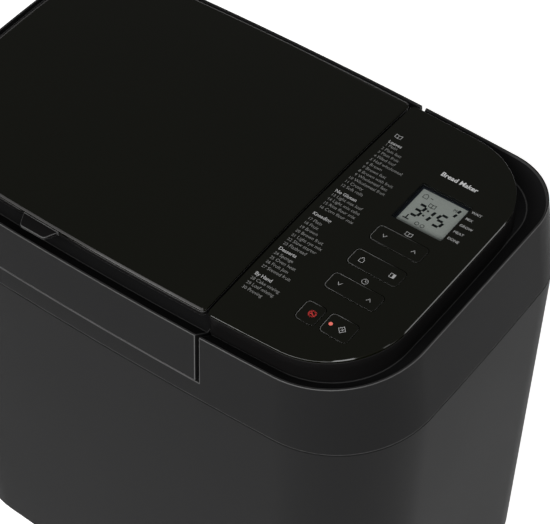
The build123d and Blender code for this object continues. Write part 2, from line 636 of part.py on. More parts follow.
with BuildPart() as control_housing:
    add(prism(PANEL_PLAN, GUTTER_Z, HEIGHT + 1))
    add(under_crown(HEIGHT - COVER_T), mode=Mode.INTERSECT)
    with BuildPart(mode=Mode.PRIVATE) as hollow:
        add(prism(part_of(top_plan(WALL), PANEL_X + WALL, FAR / 2), GUTTER_Z - 1, HEIGHT))
        add(under_crown(HEIGHT - COVER_T - DECK_UNDER), mode=Mode.INTERSECT)
    add(hollow.part, mode=Mode.SUBTRACT)
    add(prism(key_cuts(KEY_GAP), GUTTER_Z, HEIGHT + 1), mode=Mode.SUBTRACT)
    add(prism(discs(3.5, *BOARD_POSTS), BOARD_TOP, HEIGHT - COVER_T - DECK_UNDER + 0.2))
    add(prism(discs(SCREW_R, *BOARD_POSTS), BOARD_TOP - 1, BOARD_TOP + 5), mode=Mode.SUBTRACT)
finish("control_housing", control_housing.part)

with BuildPart() as control_window:
    add(prism(PANEL_PLAN, COVER_LOW, HEIGHT + 1))
    add(under_crown(HEIGHT), mode=Mode.INTERSECT)
    add(under_crown(HEIGHT - COVER_T), mode=Mode.SUBTRACT)
    add(prism(key_cuts(KEY_GAP), GUTTER_Z, HEIGHT + 1), mode=Mode.SUBTRACT)
finish("control_window", control_window.part)

KEY_LOW = HEIGHT - KEY_DEPTH
LIGHT_X = KEYS["start_key"][0] - LIGHT_IN
for name, (x, y, length, height) in KEYS.items():
    with BuildPart() as key:
        add(prism(rounded(length, height, KEY_R, x, y), KEY_LOW, HEIGHT + 1))
        add(under_crown(HEIGHT), mode=Mode.INTERSECT)
        if name == "start_key":
            add(prism(discs(LIGHT_R, (LIGHT_X, y)), KEY_LOW - 1, HEIGHT + 1), mode=Mode.SUBTRACT)
    finish(name, key.part)

with BuildPart() as start_light:
    add(prism(discs(LIGHT_R, (LIGHT_X, START_KEY[1])), KEY_LOW, HEIGHT + 1))
    add(under_crown(HEIGHT), mode=Mode.INTERSECT)
finish("start_light", start_light.part)

LCD_TOP = HEIGHT - LCD_DEPTH
display_plan = oblong(LCD_SIZE[0] - 2 * LCD_BORDER, LCD_SIZE[1] - 2 * LCD_BORDER, LCD_X, LCD_Y)
with BuildPart() as lcd_lens:
    add(prism(rounded(LCD_SIZE[0] - 0.2, LCD_SIZE[1] - 0.2, LCD_R, LCD_X, LCD_Y), COVER_LOW, HEIGHT + 1))
    add(under_crown(HEIGHT - 0.2), mode=Mode.INTERSECT)
    add(under_crown(HEIGHT - 0.2 - LENS_T), mode=Mode.SUBTRACT)
finish("lcd_lens", lcd_lens.part)

with BuildPart() as lcd_display:
    add(prism(display_plan, LCD_TOP - 2.5, LCD_TOP))
finish("lcd_display", lcd_display.part)

with BuildPart() as lcd_frame:
    add(prism(oblong(LCD_SIZE[0] - 1, LCD_SIZE[1] - 1, LCD_X, LCD_Y), BOARD_TOP, LCD_TOP))
    add(prism(display_plan, LCD_TOP - 2.5, HEIGHT), mode=Mode.SUBTRACT)
    add(prism(oblong(LCD_SIZE[0] - 8, LCD_SIZE[1] - 8, LCD_X, LCD_Y), BOARD_TOP - 1, HEIGHT),
        mode=Mode.SUBTRACT)
finish("lcd_frame", lcd_frame.part)

with BuildPart() as control_board:
    with BuildSketch(Plane.XY.offset(BOARD_TOP - BOARD_T)):
        with Locations((KEY_X - 11, -4)):
            Rectangle(66, 160)
        with Locations(*BOARD_POSTS):
            Circle(SCREW_R, mode=Mode.SUBTRACT)
    extrude(amount=BOARD_T)
finish("control_board", control_board.part)

SWITCHES = [(KEY_X + side * KEY_L / 3, y) for y in KEY_ROWS.values() for side in (-1, 1)]
SWITCHES += [KEYS["stop_key"][:2], (KEYS["start_key"][0] + 4, KEYS["start_key"][1])]
with BuildPart() as tact_switches:
    for x, y in SWITCHES:
        add(prism(oblong(SWITCH, SWITCH, x, y), BOARD_TOP, BOARD_TOP + SWITCH_H))
        add(prism(discs(1.7, (x, y)), BOARD_TOP + SWITCH_H, KEY_LOW - 0.8))
finish("tact_switches", tact_switches.part)

# Baking chamber, hung in the deck's opening and standing on the chassis
STANDOFFS = [(LID_X + dx, dy) for dx in (-60, 60) for dy in (-50, 50)]
TERMINALS_Y = (-14.0, 14.0)
HEATER_Z = FLOOR_Z + HEATER_UP
SENSOR_Z = FLOOR_Z + 88
SENSOR_Y = 40.0
CHAMBER_END_X = LID_X + CHAMBER_L / 2
with BuildPart() as chamber_liner:
    out = 2 * SHEET
    add(prism(rounded(CHAMBER_L + out, CHAMBER_W + out, CHAMBER_R + SHEET, LID_X), FLOOR_Z,
              DECK_Z + CHAMBER_RIM_UP))
    add(prism(rounded(LINER_L, LINER_W, LINER_R, LID_X), DECK_Z, DECK_Z + SHEET))
    add(prism(rounded(CHAMBER_L, CHAMBER_W, CHAMBER_R, LID_X), FLOOR_TOP, HEIGHT), mode=Mode.SUBTRACT)
    add(prism(discs(BEARING_R, (LID_X, 0)), FLOOR_Z - 1, FLOOR_TOP + 1), mode=Mode.SUBTRACT)
    for y in TERMINALS_Y:
        add(rod(HEATER_R + FIT, (CHAMBER_END_X - 3, y, HEATER_Z), (CHAMBER_END_X + 5, 0, 0)),
            mode=Mode.SUBTRACT)
    add(rod(3 + 0.1, (CHAMBER_END_X - 3, SENSOR_Y, SENSOR_Z), (CHAMBER_END_X + 5, 0, 0)),
        mode=Mode.SUBTRACT)
finish("chamber_liner", chamber_liner.part)

with BuildPart() as chamber_standoffs:
    add(prism(discs(6, *STANDOFFS), CHASSIS_TOP, FLOOR_Z))
finish("chamber_standoffs", chamber_standoffs.part)

heater_x = CHAMBER_L / 2 - HEATER_IN
heater_y = CHAMBER_W / 2 - HEATER_IN
with BuildPart() as heater_ring:
    with BuildLine(Plane.XY.offset(HEATER_Z)) as heater_path:
        FilletPolyline((LID_X - heater_x, -heater_y), (LID_X + heater_x, -heater_y),
                       (LID_X + heater_x, heater_y), (LID_X - heater_x, heater_y),
                       radius=CHAMBER_R - HEATER_IN, close=True)
    with BuildSketch(Plane(origin=heater_path.line @ 0, z_dir=heater_path.line % 0)):
        Circle(HEATER_R)
    sweep()
    for y in TERMINALS_Y:
        add(rod(HEATER_R, (LID_X + heater_x, y, HEATER_Z), (CHAMBER_END_X + 14, 0, 0)))
finish("heater_ring", heater_ring.part)

with BuildPart() as heater_clips:
    for dx in (-50, 50):
        for side in (-1, 1):
            wall_y = side * CHAMBER_W / 2
            inner_y = side * (CHAMBER_W / 2 - HEATER_IN - HEATER_R - 1)
            low_y, high_y = sorted((wall_y, inner_y))
            clip_x = LID_X + dx
            add(block((clip_x - 5, low_y, HEATER_Z - HEATER_R - 1.8),
                      (clip_x + 5, high_y, HEATER_Z + HEATER_R + 1.8)))
    for side in (-1, 1):
        slot_y = sorted((side * (heater_y + HEATER_R + 0.3), side * (heater_y - 20)))
        add(block((LID_X - 60, slot_y[0], HEATER_Z - HEATER_R - 0.3),
                  (LID_X + 60, slot_y[1], HEATER_Z + HEATER_R + 0.3)), mode=Mode.SUBTRACT)
finish("heater_clips", heater_clips.part)

with BuildPart() as temperature_sensor:
    add(rod(3, (CHAMBER_END_X - 9, SENSOR_Y, SENSOR_Z), (CHAMBER_END_X + 10, 0, 0)))
    add(rod(7, (CHAMBER_END_X + SHEET, SENSOR_Y, SENSOR_Z), (CHAMBER_END_X + SHEET + 2, 0, 0)))
finish("temperature_sensor", temperature_sensor.part)

with BuildPart() as pan_holder:
    add(prism(discs(HOLDER_R, (LID_X, 0)), FLOOR_TOP, FLOOR_TOP + HOLDER_H))
    add(prism(discs(HOLDER_R + 8, (LID_X, 0)), FLOOR_TOP, FLOOR_TOP + 3))
    add(prism(discs(HOLDER_BORE, (LID_X, 0)), FLOOR_TOP - 1, FLOOR_TOP + HOLDER_H + 1), mode=Mode.SUBTRACT)
    with BuildSketch(Plane.XY.offset(FLOOR_TOP + HOLDER_H - 6)):
        with Locations((LID_X, 0)):
            with PolarLocations(HOLDER_BORE + 3, 3, start_angle=30):
                Rectangle(9, 14)
    extrude(amount=8, mode=Mode.SUBTRACT)
finish("pan_holder", pan_holder.part)

# Drive: chassis, bearing, shaft, coupling, pulleys, belt and motor
COUPLING_Z = FLOOR_TOP + 9
with BuildPart() as chassis_plate:
    with BuildSketch(Plane.XY.offset(CHASSIS_Z)):
        add(rounded(MOTOR_X + 44 - LID_X + 82, 124, 8, (MOTOR_X + 44 + LID_X - 82) / 2))
        with Locations((LID_X, 0)):
            Circle(BEARING_R, mode=Mode.SUBTRACT)
        with Locations((MOTOR_X, 0)):
            Circle(MOTOR_SHAFT_R + 8, mode=Mode.SUBTRACT)
        with Locations(*POSTS):
            Circle(SCREW_R, mode=Mode.SUBTRACT)
    extrude(amount=CHASSIS_T)
finish("chassis_plate", chassis_plate.part)

# The frame's pan-head screws: into the posts from above, into the bosses and the board's posts from below
with BuildPart() as frame_screws:
    add(prism(discs(SCREW_R, *POSTS), CHASSIS_TOP - 10, CHASSIS_TOP))
    add(prism(discs(SCREW_HEAD_R, *POSTS), CHASSIS_TOP, CHASSIS_TOP + SCREW_HEAD_H))
    add(prism(discs(SCREW_R, *BOSSES), BASE_LOW, BASE_TOP + 10))
    add(prism(discs(SCREW_HEAD_R, *BOSSES), BASE_LOW - SCREW_HEAD_H, BASE_LOW))
    add(prism(discs(SCREW_R, *BOARD_POSTS), BOARD_TOP - BOARD_T, BOARD_TOP + 4))
    add(prism(discs(SCREW_HEAD_R, *BOARD_POSTS), BOARD_TOP - BOARD_T - SCREW_HEAD_H, BOARD_TOP - BOARD_T))
finish("frame_screws", frame_screws.part)

with BuildPart() as drive_bearing:
    add(prism(discs(BEARING_R, (LID_X, 0)), CHASSIS_Z - 4, FLOOR_TOP + 6))
    add(prism(discs(BEARING_R + 5, (LID_X, 0)), CHASSIS_TOP, CHASSIS_TOP + 3))
    add(prism(discs(SHAFT_R + RUN_CLEAR, (LID_X, 0)), CHASSIS_Z - 5, FLOOR_TOP + 7), mode=Mode.SUBTRACT)
finish("drive_bearing", drive_bearing.part)

PULLEY_Z = CHASSIS_Z - 18
with BuildPart() as drive_shaft:
    add(prism(discs(SHAFT_R, (LID_X, 0)), PULLEY_Z - 2, COUPLING_Z + 3.5))
finish("drive_shaft", drive_shaft.part)

DOGS = [(LID_X + side * DOG_OFFSET, side * (WING_W / 2 + DOG_R + 0.5)) for side in (-1, 1)]
with BuildPart() as drive_coupling:
    add(prism(discs(COUPLING_R, (LID_X, 0)), COUPLING_Z, COUPLING_Z + 4))
    add(prism(discs(DOG_R, *DOGS), COUPLING_Z + 4, COUPLING_Z + 11))
    add(prism(discs(SHAFT_R, (LID_X, 0)), COUPLING_Z - 1, COUPLING_Z + 3.5), mode=Mode.SUBTRACT)
finish("drive_coupling", drive_coupling.part)


def pulley(x, radius, bore):
    """A flanged pulley about a vertical axis."""
    with BuildPart() as wheel:
        add(prism(discs(radius, (x, 0)), PULLEY_Z, PULLEY_Z + PULLEY_H))
        for low in (PULLEY_Z, PULLEY_Z + PULLEY_H - 1.2):
            add(prism(discs(radius + 4, (x, 0)), low, low + 1.2))
        add(prism(discs(bore, (x, 0)), PULLEY_Z - 1, PULLEY_Z + PULLEY_H + 1), mode=Mode.SUBTRACT)
    return wheel.part


with BuildPart() as large_pulley:
    add(pulley(LID_X, PULLEY_R, SHAFT_R))
    with BuildSketch(Plane.XY.offset(PULLEY_Z)):
        with Locations((LID_X, 0)):
            with PolarLocations(PULLEY_R / 2 + 4, 6):
                Circle(7)
    extrude(amount=PULLEY_H, mode=Mode.SUBTRACT)
finish("large_pulley", large_pulley.part)

finish("motor_pulley", pulley(MOTOR_X, MOTOR_PULLEY_R, MOTOR_SHAFT_R))


def belt_loop(growth):
    """The plan inside a loop that runs round both pulleys."""
    with BuildSketch() as loop:
        with Locations((LID_X, 0)):
            Circle(PULLEY_R + growth)
        with Locations((MOTOR_X, 0)):
            Circle(MOTOR_PULLEY_R + growth)
        make_hull()
    return loop.sketch


with BuildPart() as drive_belt:
    belt_z = PULLEY_Z + (PULLEY_H - BELT_W) / 2
    add(prism(belt_loop(BELT_CLEAR + BELT_T), belt_z, belt_z + BELT_W))
    add(prism(belt_loop(BELT_CLEAR), belt_z - 1, belt_z + BELT_W + 1), mode=Mode.SUBTRACT)
finish("drive_belt", drive_belt.part)

MOTOR_Z = CHASSIS_TOP + GROMMET_H
GROMMETS = [(MOTOR_X + dx, dy) for dx in (-25, 25) for dy in (-25, 25)]
with BuildPart() as motor:
    add(prism(rounded(66, 66, 6, MOTOR_X), MOTOR_Z, MOTOR_Z + 2))
    add(prism(discs(MOTOR_R, (MOTOR_X, 0)), MOTOR_Z + 2, MOTOR_Z + MOTOR_H))
    add(prism(discs(10, (MOTOR_X, 0)), MOTOR_Z + MOTOR_H, MOTOR_Z + MOTOR_H + 5))
    add(prism(discs(MOTOR_SHAFT_R + RUN_CLEAR, (MOTOR_X, 0)), MOTOR_Z - 1, MOTOR_Z + 8),
        mode=Mode.SUBTRACT)
finish("motor", motor.part)

with BuildPart() as motor_mounts:
    add(prism(discs(6, *GROMMETS), CHASSIS_TOP, MOTOR_Z))
finish("motor_mounts", motor_mounts.part)

with BuildPart() as motor_shaft:
    add(prism(discs(MOTOR_SHAFT_R, (MOTOR_X, 0)), PULLEY_Z - 2, MOTOR_Z + 7.5))
finish("motor_shaft", motor_shaft.part)

# Electrical pieces of the right-hand bay
SHIELD_X = CHAMBER_END_X + 20
BOARD_Z = CHASSIS_TOP + 110
with BuildPart() as heat_shield:
    add(block((SHIELD_X, -58, CHASSIS_TOP), (SHIELD_X + SHEET, 58, DECK_Z - 30)))
    add(block((SHIELD_X, -58, CHASSIS_TOP), (SHIELD_X + 12, 58, CHASSIS_TOP + SHEET)))
    for y in (-42, 42):
        for z in (BOARD_Z + 8, BOARD_Z + 92):
            add(rod(3.5, (SHIELD_X, y, z), (SHIELD_X + SHEET + 8, 0, 0)))
finish("heat_shield", heat_shield.part)

POWER_X = SHIELD_X + SHEET + 8
with BuildPart() as power_board:
    add(block((POWER_X, -50, BOARD_Z), (POWER_X + BOARD_T, 50, BOARD_Z + 100)))
finish("power_board", power_board.part)

with BuildPart() as board_components:
    face = POWER_X + BOARD_T
    add(block((face, -40, BOARD_Z + 20), (face + 26, -8, BOARD_Z + 52)))
    add(block((face, 6, BOARD_Z + 22), (face + 15, 24, BOARD_Z + 50)))
    add(block((face, -30, BOARD_Z + 66), (face + 12, -14, BOARD_Z + 84)))
    for y in (4, 20, 36):
        add(rod(5, (face, y, BOARD_Z + 74), (face + 18, 0, 0)))
finish("board_components", board_components.part)

with BuildPart() as capacitor:
    add(prism(discs(15, (MOTOR_X - 20, -DEPTH / 2 + 42)), BASE_TOP, BASE_TOP + 34))
finish("capacitor", capacitor.part)

# Bread pan with its base ring, bush, spindle, blade and bail
with BuildPart() as bread_pan:
    for grow, low in ((PAN_WALL, PAN_Z), (0.0, PAN_Z + PAN_WALL)):
        with BuildPart(mode=Mode.PRIVATE) as form:
            draft = PAN_DRAFT * (PAN_TOP - low) / PAN_H
            with BuildSketch(Plane.XY.offset(low)):
                add(rounded(PAN_L - 2 * draft + 2 * grow, PAN_W - 2 * draft + 2 * grow,
                            PAN_R - draft + grow, LID_X))
            with BuildSketch(Plane.XY.offset(PAN_TOP)):
                add(rounded(PAN_L + 2 * grow, PAN_W + 2 * grow, PAN_R + grow, LID_X))
            loft(ruled=True)
            if not grow:
                add(prism(rounded(PAN_L, PAN_W, PAN_R, LID_X), PAN_TOP, PAN_TOP + 1))
        if grow:
            add(form.part)
            lip = 2 * (PAN_WALL + PAN_LIP)
            add(prism(rounded(PAN_L + lip, PAN_W + lip, PAN_R + lip / 2, LID_X), PAN_TOP - 2.5, PAN_TOP))
        else:
            add(form.part, mode=Mode.SUBTRACT)
    add(prism(discs(BUSH_R, (LID_X, 0)), PAN_Z - 1, PAN_Z + 3), mode=Mode.SUBTRACT)
finish("bread_pan", bread_pan.part)

with BuildPart() as pan_base_ring:
    ring_r = HOLDER_BORE - RING_CLEAR
    add(prism(discs(ring_r, (LID_X, 0)), FLOOR_TOP + 4, PAN_Z))
    add(prism(discs(ring_r - 5, (LID_X, 0)), FLOOR_TOP + 3, PAN_Z + 1), mode=Mode.SUBTRACT)
finish("pan_base_ring", pan_base_ring.part)

with BuildPart() as pan_bush:
    add(prism(discs(BUSH_R, (LID_X, 0)), PAN_Z - 2, PAN_Z + 6))
    add(prism(discs(BUSH_R + 3, (LID_X, 0)), PAN_Z + PAN_WALL, PAN_Z + PAN_WALL + 1.5))
    add(prism(discs(SPINDLE_R + RUN_CLEAR, (LID_X, 0)), PAN_Z - 3, PAN_Z + 7), mode=Mode.SUBTRACT)
finish("pan_bush", pan_bush.part)

WING_Z = COUPLING_Z + 5
with BuildPart() as pan_spindle:
    add(prism(rounded(WING_L, WING_W, 2, LID_X), WING_Z, WING_Z + 4))
    add(prism(discs(SPINDLE_R, (LID_X, 0)), WING_Z, PAN_Z + 22))
finish("pan_spindle", pan_spindle.part)

BLADE_Z = PAN_Z + 7
with BuildPart() as kneading_blade:
    add(prism(discs(BUSH_R, (LID_X, 0)), BLADE_Z, BLADE_Z + 18))
    with BuildSketch(Plane(origin=(LID_X, BLADE_T / 2, 0), x_dir=(1, 0, 0), z_dir=(0, -1, 0))):
        with BuildLine():
            Line((0, BLADE_Z), (BLADE_REACH, BLADE_Z))
            ThreePointArc((BLADE_REACH, BLADE_Z), (BLADE_REACH - 8, BLADE_Z + 24), (20, BLADE_Z + 32))
            ThreePointArc((20, BLADE_Z + 32), (10, BLADE_Z + 24), (0, BLADE_Z + 18))
            Line((0, BLADE_Z + 18), (0, BLADE_Z))
        make_face()
    extrude(amount=BLADE_T)
    add(prism(discs(SPINDLE_R, (LID_X, 0)), BLADE_Z - 1, BLADE_Z + 15.5), mode=Mode.SUBTRACT)
finish("kneading_blade", kneading_blade.part)

LUG_IN = PAN_L / 2 + PAN_WALL + 0.1
LUG_OUT = LUG_IN + 3.1
BAIL_X = PAN_L / 2 + PAN_WALL + PAN_LIP + 3.2
with BuildPart() as bail_pivots:
    for side in (-1, 1):
        x0, x1 = sorted((LID_X + side * LUG_IN, LID_X + side * LUG_OUT))
        add(block((x0, -9, BAIL_Z - 10), (x1, 9, PAN_TOP - 2.8)))
        x0, x1 = sorted((LID_X + side * LUG_OUT, LID_X + side * (BAIL_X + 3)))
        add(rod(2.5, (x0, 0, BAIL_Z), (x1, 0, 0)))
        x0, x1 = sorted((LID_X + side * (BAIL_X + 2), LID_X + side * (BAIL_X + 3)))
        add(rod(4, (x0, 0, BAIL_Z), (x1, 0, 0)))
finish("bail_pivots", bail_pivots.part)

with BuildPart() as bail_handle:
    with BuildLine(Plane.XY.offset(BAIL_Z)) as bail_path:
        FilletPolyline((LID_X - BAIL_X, -4), (LID_X - BAIL_X, -BAIL_REACH), (LID_X + BAIL_X, -BAIL_REACH),
                       (LID_X + BAIL_X, -4), radius=14)
    with BuildSketch(Plane(origin=bail_path.line @ 0, z_dir=bail_path.line % 0)):
        Circle(BAIL_R)
    sweep()
    for side in (-1, 1):
        eye_x = LID_X + side * BAIL_X
        add(rod(5, (eye_x - 1.6, 0, BAIL_Z), (eye_x + 1.6, 0, 0)))
        add(rod(2.5 + RUN_CLEAR, (eye_x - 4, 0, BAIL_Z), (eye_x + 4, 0, 0)), mode=Mode.SUBTRACT)
finish("bail_handle", bail_handle.part)
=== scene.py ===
from math import cos, hypot, radians, sin, sqrt

import bmesh
import bpy
from mathutils import Matrix, Vector
from mathutils.bvhtree import BVHTree
from mathutils.geometry import convex_hull_2d, intersect_point_line


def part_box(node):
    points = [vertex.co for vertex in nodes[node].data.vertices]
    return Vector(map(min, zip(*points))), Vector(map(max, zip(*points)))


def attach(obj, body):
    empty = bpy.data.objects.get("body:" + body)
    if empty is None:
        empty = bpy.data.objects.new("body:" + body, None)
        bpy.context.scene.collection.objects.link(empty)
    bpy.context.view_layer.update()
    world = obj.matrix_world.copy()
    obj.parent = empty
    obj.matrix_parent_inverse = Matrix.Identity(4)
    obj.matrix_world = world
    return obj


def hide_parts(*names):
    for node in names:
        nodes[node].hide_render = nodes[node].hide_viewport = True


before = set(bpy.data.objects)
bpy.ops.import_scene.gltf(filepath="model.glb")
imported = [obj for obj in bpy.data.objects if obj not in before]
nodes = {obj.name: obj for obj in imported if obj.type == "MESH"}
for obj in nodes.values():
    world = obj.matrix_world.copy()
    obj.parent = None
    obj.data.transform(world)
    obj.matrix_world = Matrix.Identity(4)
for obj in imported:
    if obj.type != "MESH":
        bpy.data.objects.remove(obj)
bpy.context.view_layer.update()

# Moulded casing. The lower housing, the upper frame and the lid are injection moulded in black ABS and
# snapped and screwed together. Their faces carry a fine spark-eroded texture; their edges are slightly
# rounded by the mould. The rounded edges of the upper frame and the lid base are painted a lighter grey,
# a painted highlight.
CASING_EDGE = 0.0005
EDGE_ANGLE = radians(25)  # faces that meet at more than this make an edge to round
RIM_NEAR = 0.0005  # an edge this close to the outline is on it


def start_material(name):
    """An empty node material, with its tree, its shader and the coordinates that stay with the piece."""
    material = bpy.data.materials.new(name)
    material.use_nodes = True
    tree = material.node_tree
    return material, tree, tree.nodes["Principled BSDF"], tree.nodes.new("ShaderNodeTexCoord")


def between_tones(tree, dark, light, share):
    """Colour that changes over the surface from one tone to another with a mask."""
    tone = tree.nodes.new("ShaderNodeMix")
    tone.data_type = "RGBA"
    tone.inputs["A"].default_value = (*dark, 1)
    tone.inputs["B"].default_value = (*light, 1)
    tree.links.new(share, tone.inputs["Factor"])
    return tone.outputs["Result"]


def between_values(tree, low, high, share):
    """Value that changes over the surface between two limits with a mask."""
    ramp = tree.nodes.new("ShaderNodeMapRange")
    ramp.inputs["To Min"].default_value = low
    ramp.inputs["To Max"].default_value = high
    tree.links.new(share, ramp.inputs["Value"])
    return ramp.outputs["Result"]


def grain_group():
    """Fine moulded texture: the height of its pits at a given number per metre, and broad blotches."""
    group = bpy.data.node_groups.new("moulded_grain", "ShaderNodeTree")
    group.interface.new_socket("Grains per metre", in_out="INPUT", socket_type="NodeSocketFloat")
    group.interface.new_socket("Height", in_out="OUTPUT", socket_type="NodeSocketFloat")
    group.interface.new_socket("Blotches", in_out="OUTPUT", socket_type="NodeSocketFloat")
    ends = group.nodes.new("NodeGroupInput"), group.nodes.new("NodeGroupOutput")
    place = group.nodes.new("ShaderNodeTexCoord")
    pits = group.nodes.new("ShaderNodeTexVoronoi")
    fine = group.nodes.new("ShaderNodeTexNoise")
    broad = group.nodes.new("ShaderNodeTexNoise")
    mixed = group.nodes.new("ShaderNodeMath")
    fine.inputs["Detail"].default_value = 3.0
    broad.inputs["Scale"].default_value = 9.0
    broad.inputs["Detail"].default_value = 4.0
    mixed.operation = "ADD"
    group.links.new(place.outputs["Object"], pits.inputs["Vector"])
    group.links.new(place.outputs["Object"], fine.inputs["Vector"])
    group.links.new(place.outputs["Object"], broad.inputs["Vector"])
    group.links.new(ends[0].outputs["Grains per metre"], pits.inputs["Scale"])
    group.links.new(ends[0].outputs["Grains per metre"], fine.inputs["Scale"])
    group.links.new(pits.outputs["Distance"], mixed.inputs[0])
    group.links.new(fine.outputs["Fac"], mixed.inputs[1])
    group.links.new(mixed.outputs["Value"], ends[1].inputs["Height"])
    group.links.new(broad.outputs["Fac"], ends[1].inputs["Blotches"])
    return group


def wear_group():
    """A mask of the convex edges, where handling polishes the texture away."""
    group = bpy.data.node_groups.new("edge_wear", "ShaderNodeTree")
    group.interface.new_socket("Width", in_out="INPUT", socket_type="NodeSocketFloat")
    group.interface.new_socket("Mask", in_out="OUTPUT", socket_type="NodeSocketFloat")
    ends = group.nodes.new("NodeGroupInput"), group.nodes.new("NodeGroupOutput")
    shape = group.nodes.new("ShaderNodeNewGeometry")
    ramp = group.nodes.new("ShaderNodeMapRange")
    lower = group.nodes.new("ShaderNodeMath")
    lower.operation = "ADD"
    lower.inputs[0].default_value = 0.5
    group.links.new(ends[0].outputs["Width"], lower.inputs[1])
    group.links.new(lower.outputs["Value"], ramp.inputs["From Max"])
    ramp.inputs["From Min"].default_value = 0.5
    group.links.new(shape.outputs["Pointiness"], ramp.inputs["Value"])
    group.links.new(ramp.outputs["Result"], ends[1].inputs["Mask"])
    return group


GRAIN = grain_group()
GRAIN_DEPTH = 0.00012
WEAR = wear_group()
WEAR_WIDTH = 0.06


def plastic(name, dark, light, rough_low, rough_high, grains, bump, wear=0.0, specular=0.5):
    """A moulded plastic: two close tones in broad blotches, a fine grain, and lighter worn edges."""
    material, tree, shader, place = start_material(name)
    tree.nodes.remove(place)
    shader.inputs["Specular IOR Level"].default_value = specular
    grain = tree.nodes.new("ShaderNodeGroup")
    grain.node_tree = GRAIN
    grain.inputs["Grains per metre"].default_value = grains
    colour = between_tones(tree, dark, light, grain.outputs["Blotches"])
    relief = tree.nodes.new("ShaderNodeBump")
    relief.inputs["Strength"].default_value = bump
    relief.inputs["Distance"].default_value = GRAIN_DEPTH
    tree.links.new(grain.outputs["Height"], relief.inputs["Height"])
    tree.links.new(between_values(tree, rough_low, rough_high, grain.outputs["Blotches"]),
                   shader.inputs["Roughness"])
    tree.links.new(relief.outputs["Normal"], shader.inputs["Normal"])
    if wear:
        mask = tree.nodes.new("ShaderNodeGroup")
        mask.node_tree = WEAR
        mask.inputs["Width"].default_value = WEAR_WIDTH
        worn = tree.nodes.new("ShaderNodeMix")
        worn.data_type = "RGBA"
        worn.inputs["B"].default_value = (wear, wear, wear, 1)
        tree.links.new(mask.outputs["Mask"], worn.inputs["Factor"])
        tree.links.new(colour, worn.inputs["A"])
        colour = worn.outputs["Result"]
    tree.links.new(colour, shader.inputs["Base Color"])
    return material


def finish_nodes(material, *names):
    """Give CAD pieces their finish."""
    for name in names:
        slots = nodes[name].data.materials
        slots.clear()
        slots.append(material)


def rim_edges(form, edges):
    """Those edges that lie on the outline of a sheet seen from above."""
    places = [v.co.xy for v in form.verts]
    outline = [places[k] for k in convex_hull_2d(places)]
    sides = list(zip(outline, outline[1:] + outline[:1]))
    chosen = []
    for edge in edges:
        middle = (edge.verts[0].co.xy + edge.verts[1].co.xy) / 2
        away = min((middle - intersect_point_line(middle, a, b)[0].xy).length for a, b in sides)
        if away < RIM_NEAR:
            chosen.append(edge)
    return chosen


def eased(name, source, width, material, edge_material, segments=2, rim_only=False):
    """A copy of a CAD piece with its sharp edges rounded, and a finish of their own on them."""
    mesh = bpy.data.meshes.new(name)
    form = bmesh.new()
    form.from_mesh(nodes[source].data)
    bmesh.ops.remove_doubles(form, verts=form.verts, dist=2e-6)
    bmesh.ops.dissolve_limit(form, angle_limit=radians(0.2), verts=form.verts, edges=form.edges)
    sharp = [e for e in form.edges if len(e.link_faces) == 2 and e.calc_face_angle() > EDGE_ANGLE]
    if rim_only:
        sharp = rim_edges(form, sharp)
    bmesh.ops.bevel(form, geom=sharp, offset=width, segments=segments, profile=0.6, affect="EDGES",
                    clamp_overlap=False, material=1)
    form.to_mesh(mesh)
    form.free()
    mesh.materials.append(material)
    mesh.materials.append(edge_material)
    piece = bpy.data.objects.new(name, mesh)
    bpy.context.scene.collection.objects.link(piece)
    mesh.shade_smooth()
    mesh.set_sharp_from_angle(angle=radians(40))
    weighted = piece.modifiers.new("face_weighted_normals", "WEIGHTED_NORMAL")
    weighted.keep_sharp = True
    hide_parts(source)
    return piece


casing_plastic = plastic("casing_plastic", (0.0090, 0.0090, 0.0092), (0.0108, 0.0108, 0.0110), 0.42, 0.50,
                         2600.0, 0.30, specular=0.022)
# A lighter grey laid on rounded edges: a painted highlight.
edge_highlight_paint = plastic("edge_highlight_paint", (0.036, 0.036, 0.036), (0.052, 0.051, 0.051), 0.34, 0.44,
                      1500.0, 0.10, specular=0.45)
for source, body, edge in (("lower_housing", "body", casing_plastic), ("upper_frame", "body", edge_highlight_paint),
                           ("lid_base", "lid", edge_highlight_paint)):
    shell = eased(source + "_moulding", source, CASING_EDGE, casing_plastic, edge)
    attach(shell, body)

# Raised control housing and the frame under the lid cover. Both are moulded in the same black with a finer,
# satin texture, and the glossy sheets are bonded on top of them.
SATIN_EDGE = 0.0005
satin_plastic = plastic("satin_plastic", (0.0055, 0.0052, 0.0052), (0.0075, 0.0072, 0.0072), 0.30, 0.36,
                        5200.0, 0.15, specular=0.08)
# The cover frame's rounded edges are painted a lighter grey, a painted highlight.
for source, body, edge in (("control_housing", "body", satin_plastic), ("cover_frame", "cover", edge_highlight_paint)):
    shell = eased(source + "_moulding", source, SATIN_EDGE, satin_plastic, edge)
    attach(shell, body)


# Glossy sheets: the lid cover and the control window, polished acrylic about two millimetres thick, printed
# black on the underside and bonded to the pieces below. Their rims are ground round and catch the light;
# the lid cover's rim is also painted a lighter grey, a painted highlight, except on the side of the panel.
def smear_group():
    """Smears left by hands on a polished face: a mask, at a given number per metre."""
    group = bpy.data.node_groups.new("handling_smears", "ShaderNodeTree")
    group.interface.new_socket("Smears per metre", in_out="INPUT", socket_type="NodeSocketFloat")
    group.interface.new_socket("Detail", in_out="INPUT", socket_type="NodeSocketFloat")
    group.interface.new_socket("Mask", in_out="OUTPUT", socket_type="NodeSocketFloat")
    ends = group.nodes.new("NodeGroupInput"), group.nodes.new("NodeGroupOutput")
    place = group.nodes.new("ShaderNodeTexCoord")
    clouds = group.nodes.new("ShaderNodeTexNoise")
    group.links.new(place.outputs["Object"], clouds.inputs["Vector"])
    group.links.new(ends[0].outputs["Smears per metre"], clouds.inputs["Scale"])
    group.links.new(ends[0].outputs["Detail"], clouds.inputs["Detail"])
    group.links.new(clouds.outputs["Fac"], ends[1].inputs["Mask"])
    return group


SMEARS = smear_group()


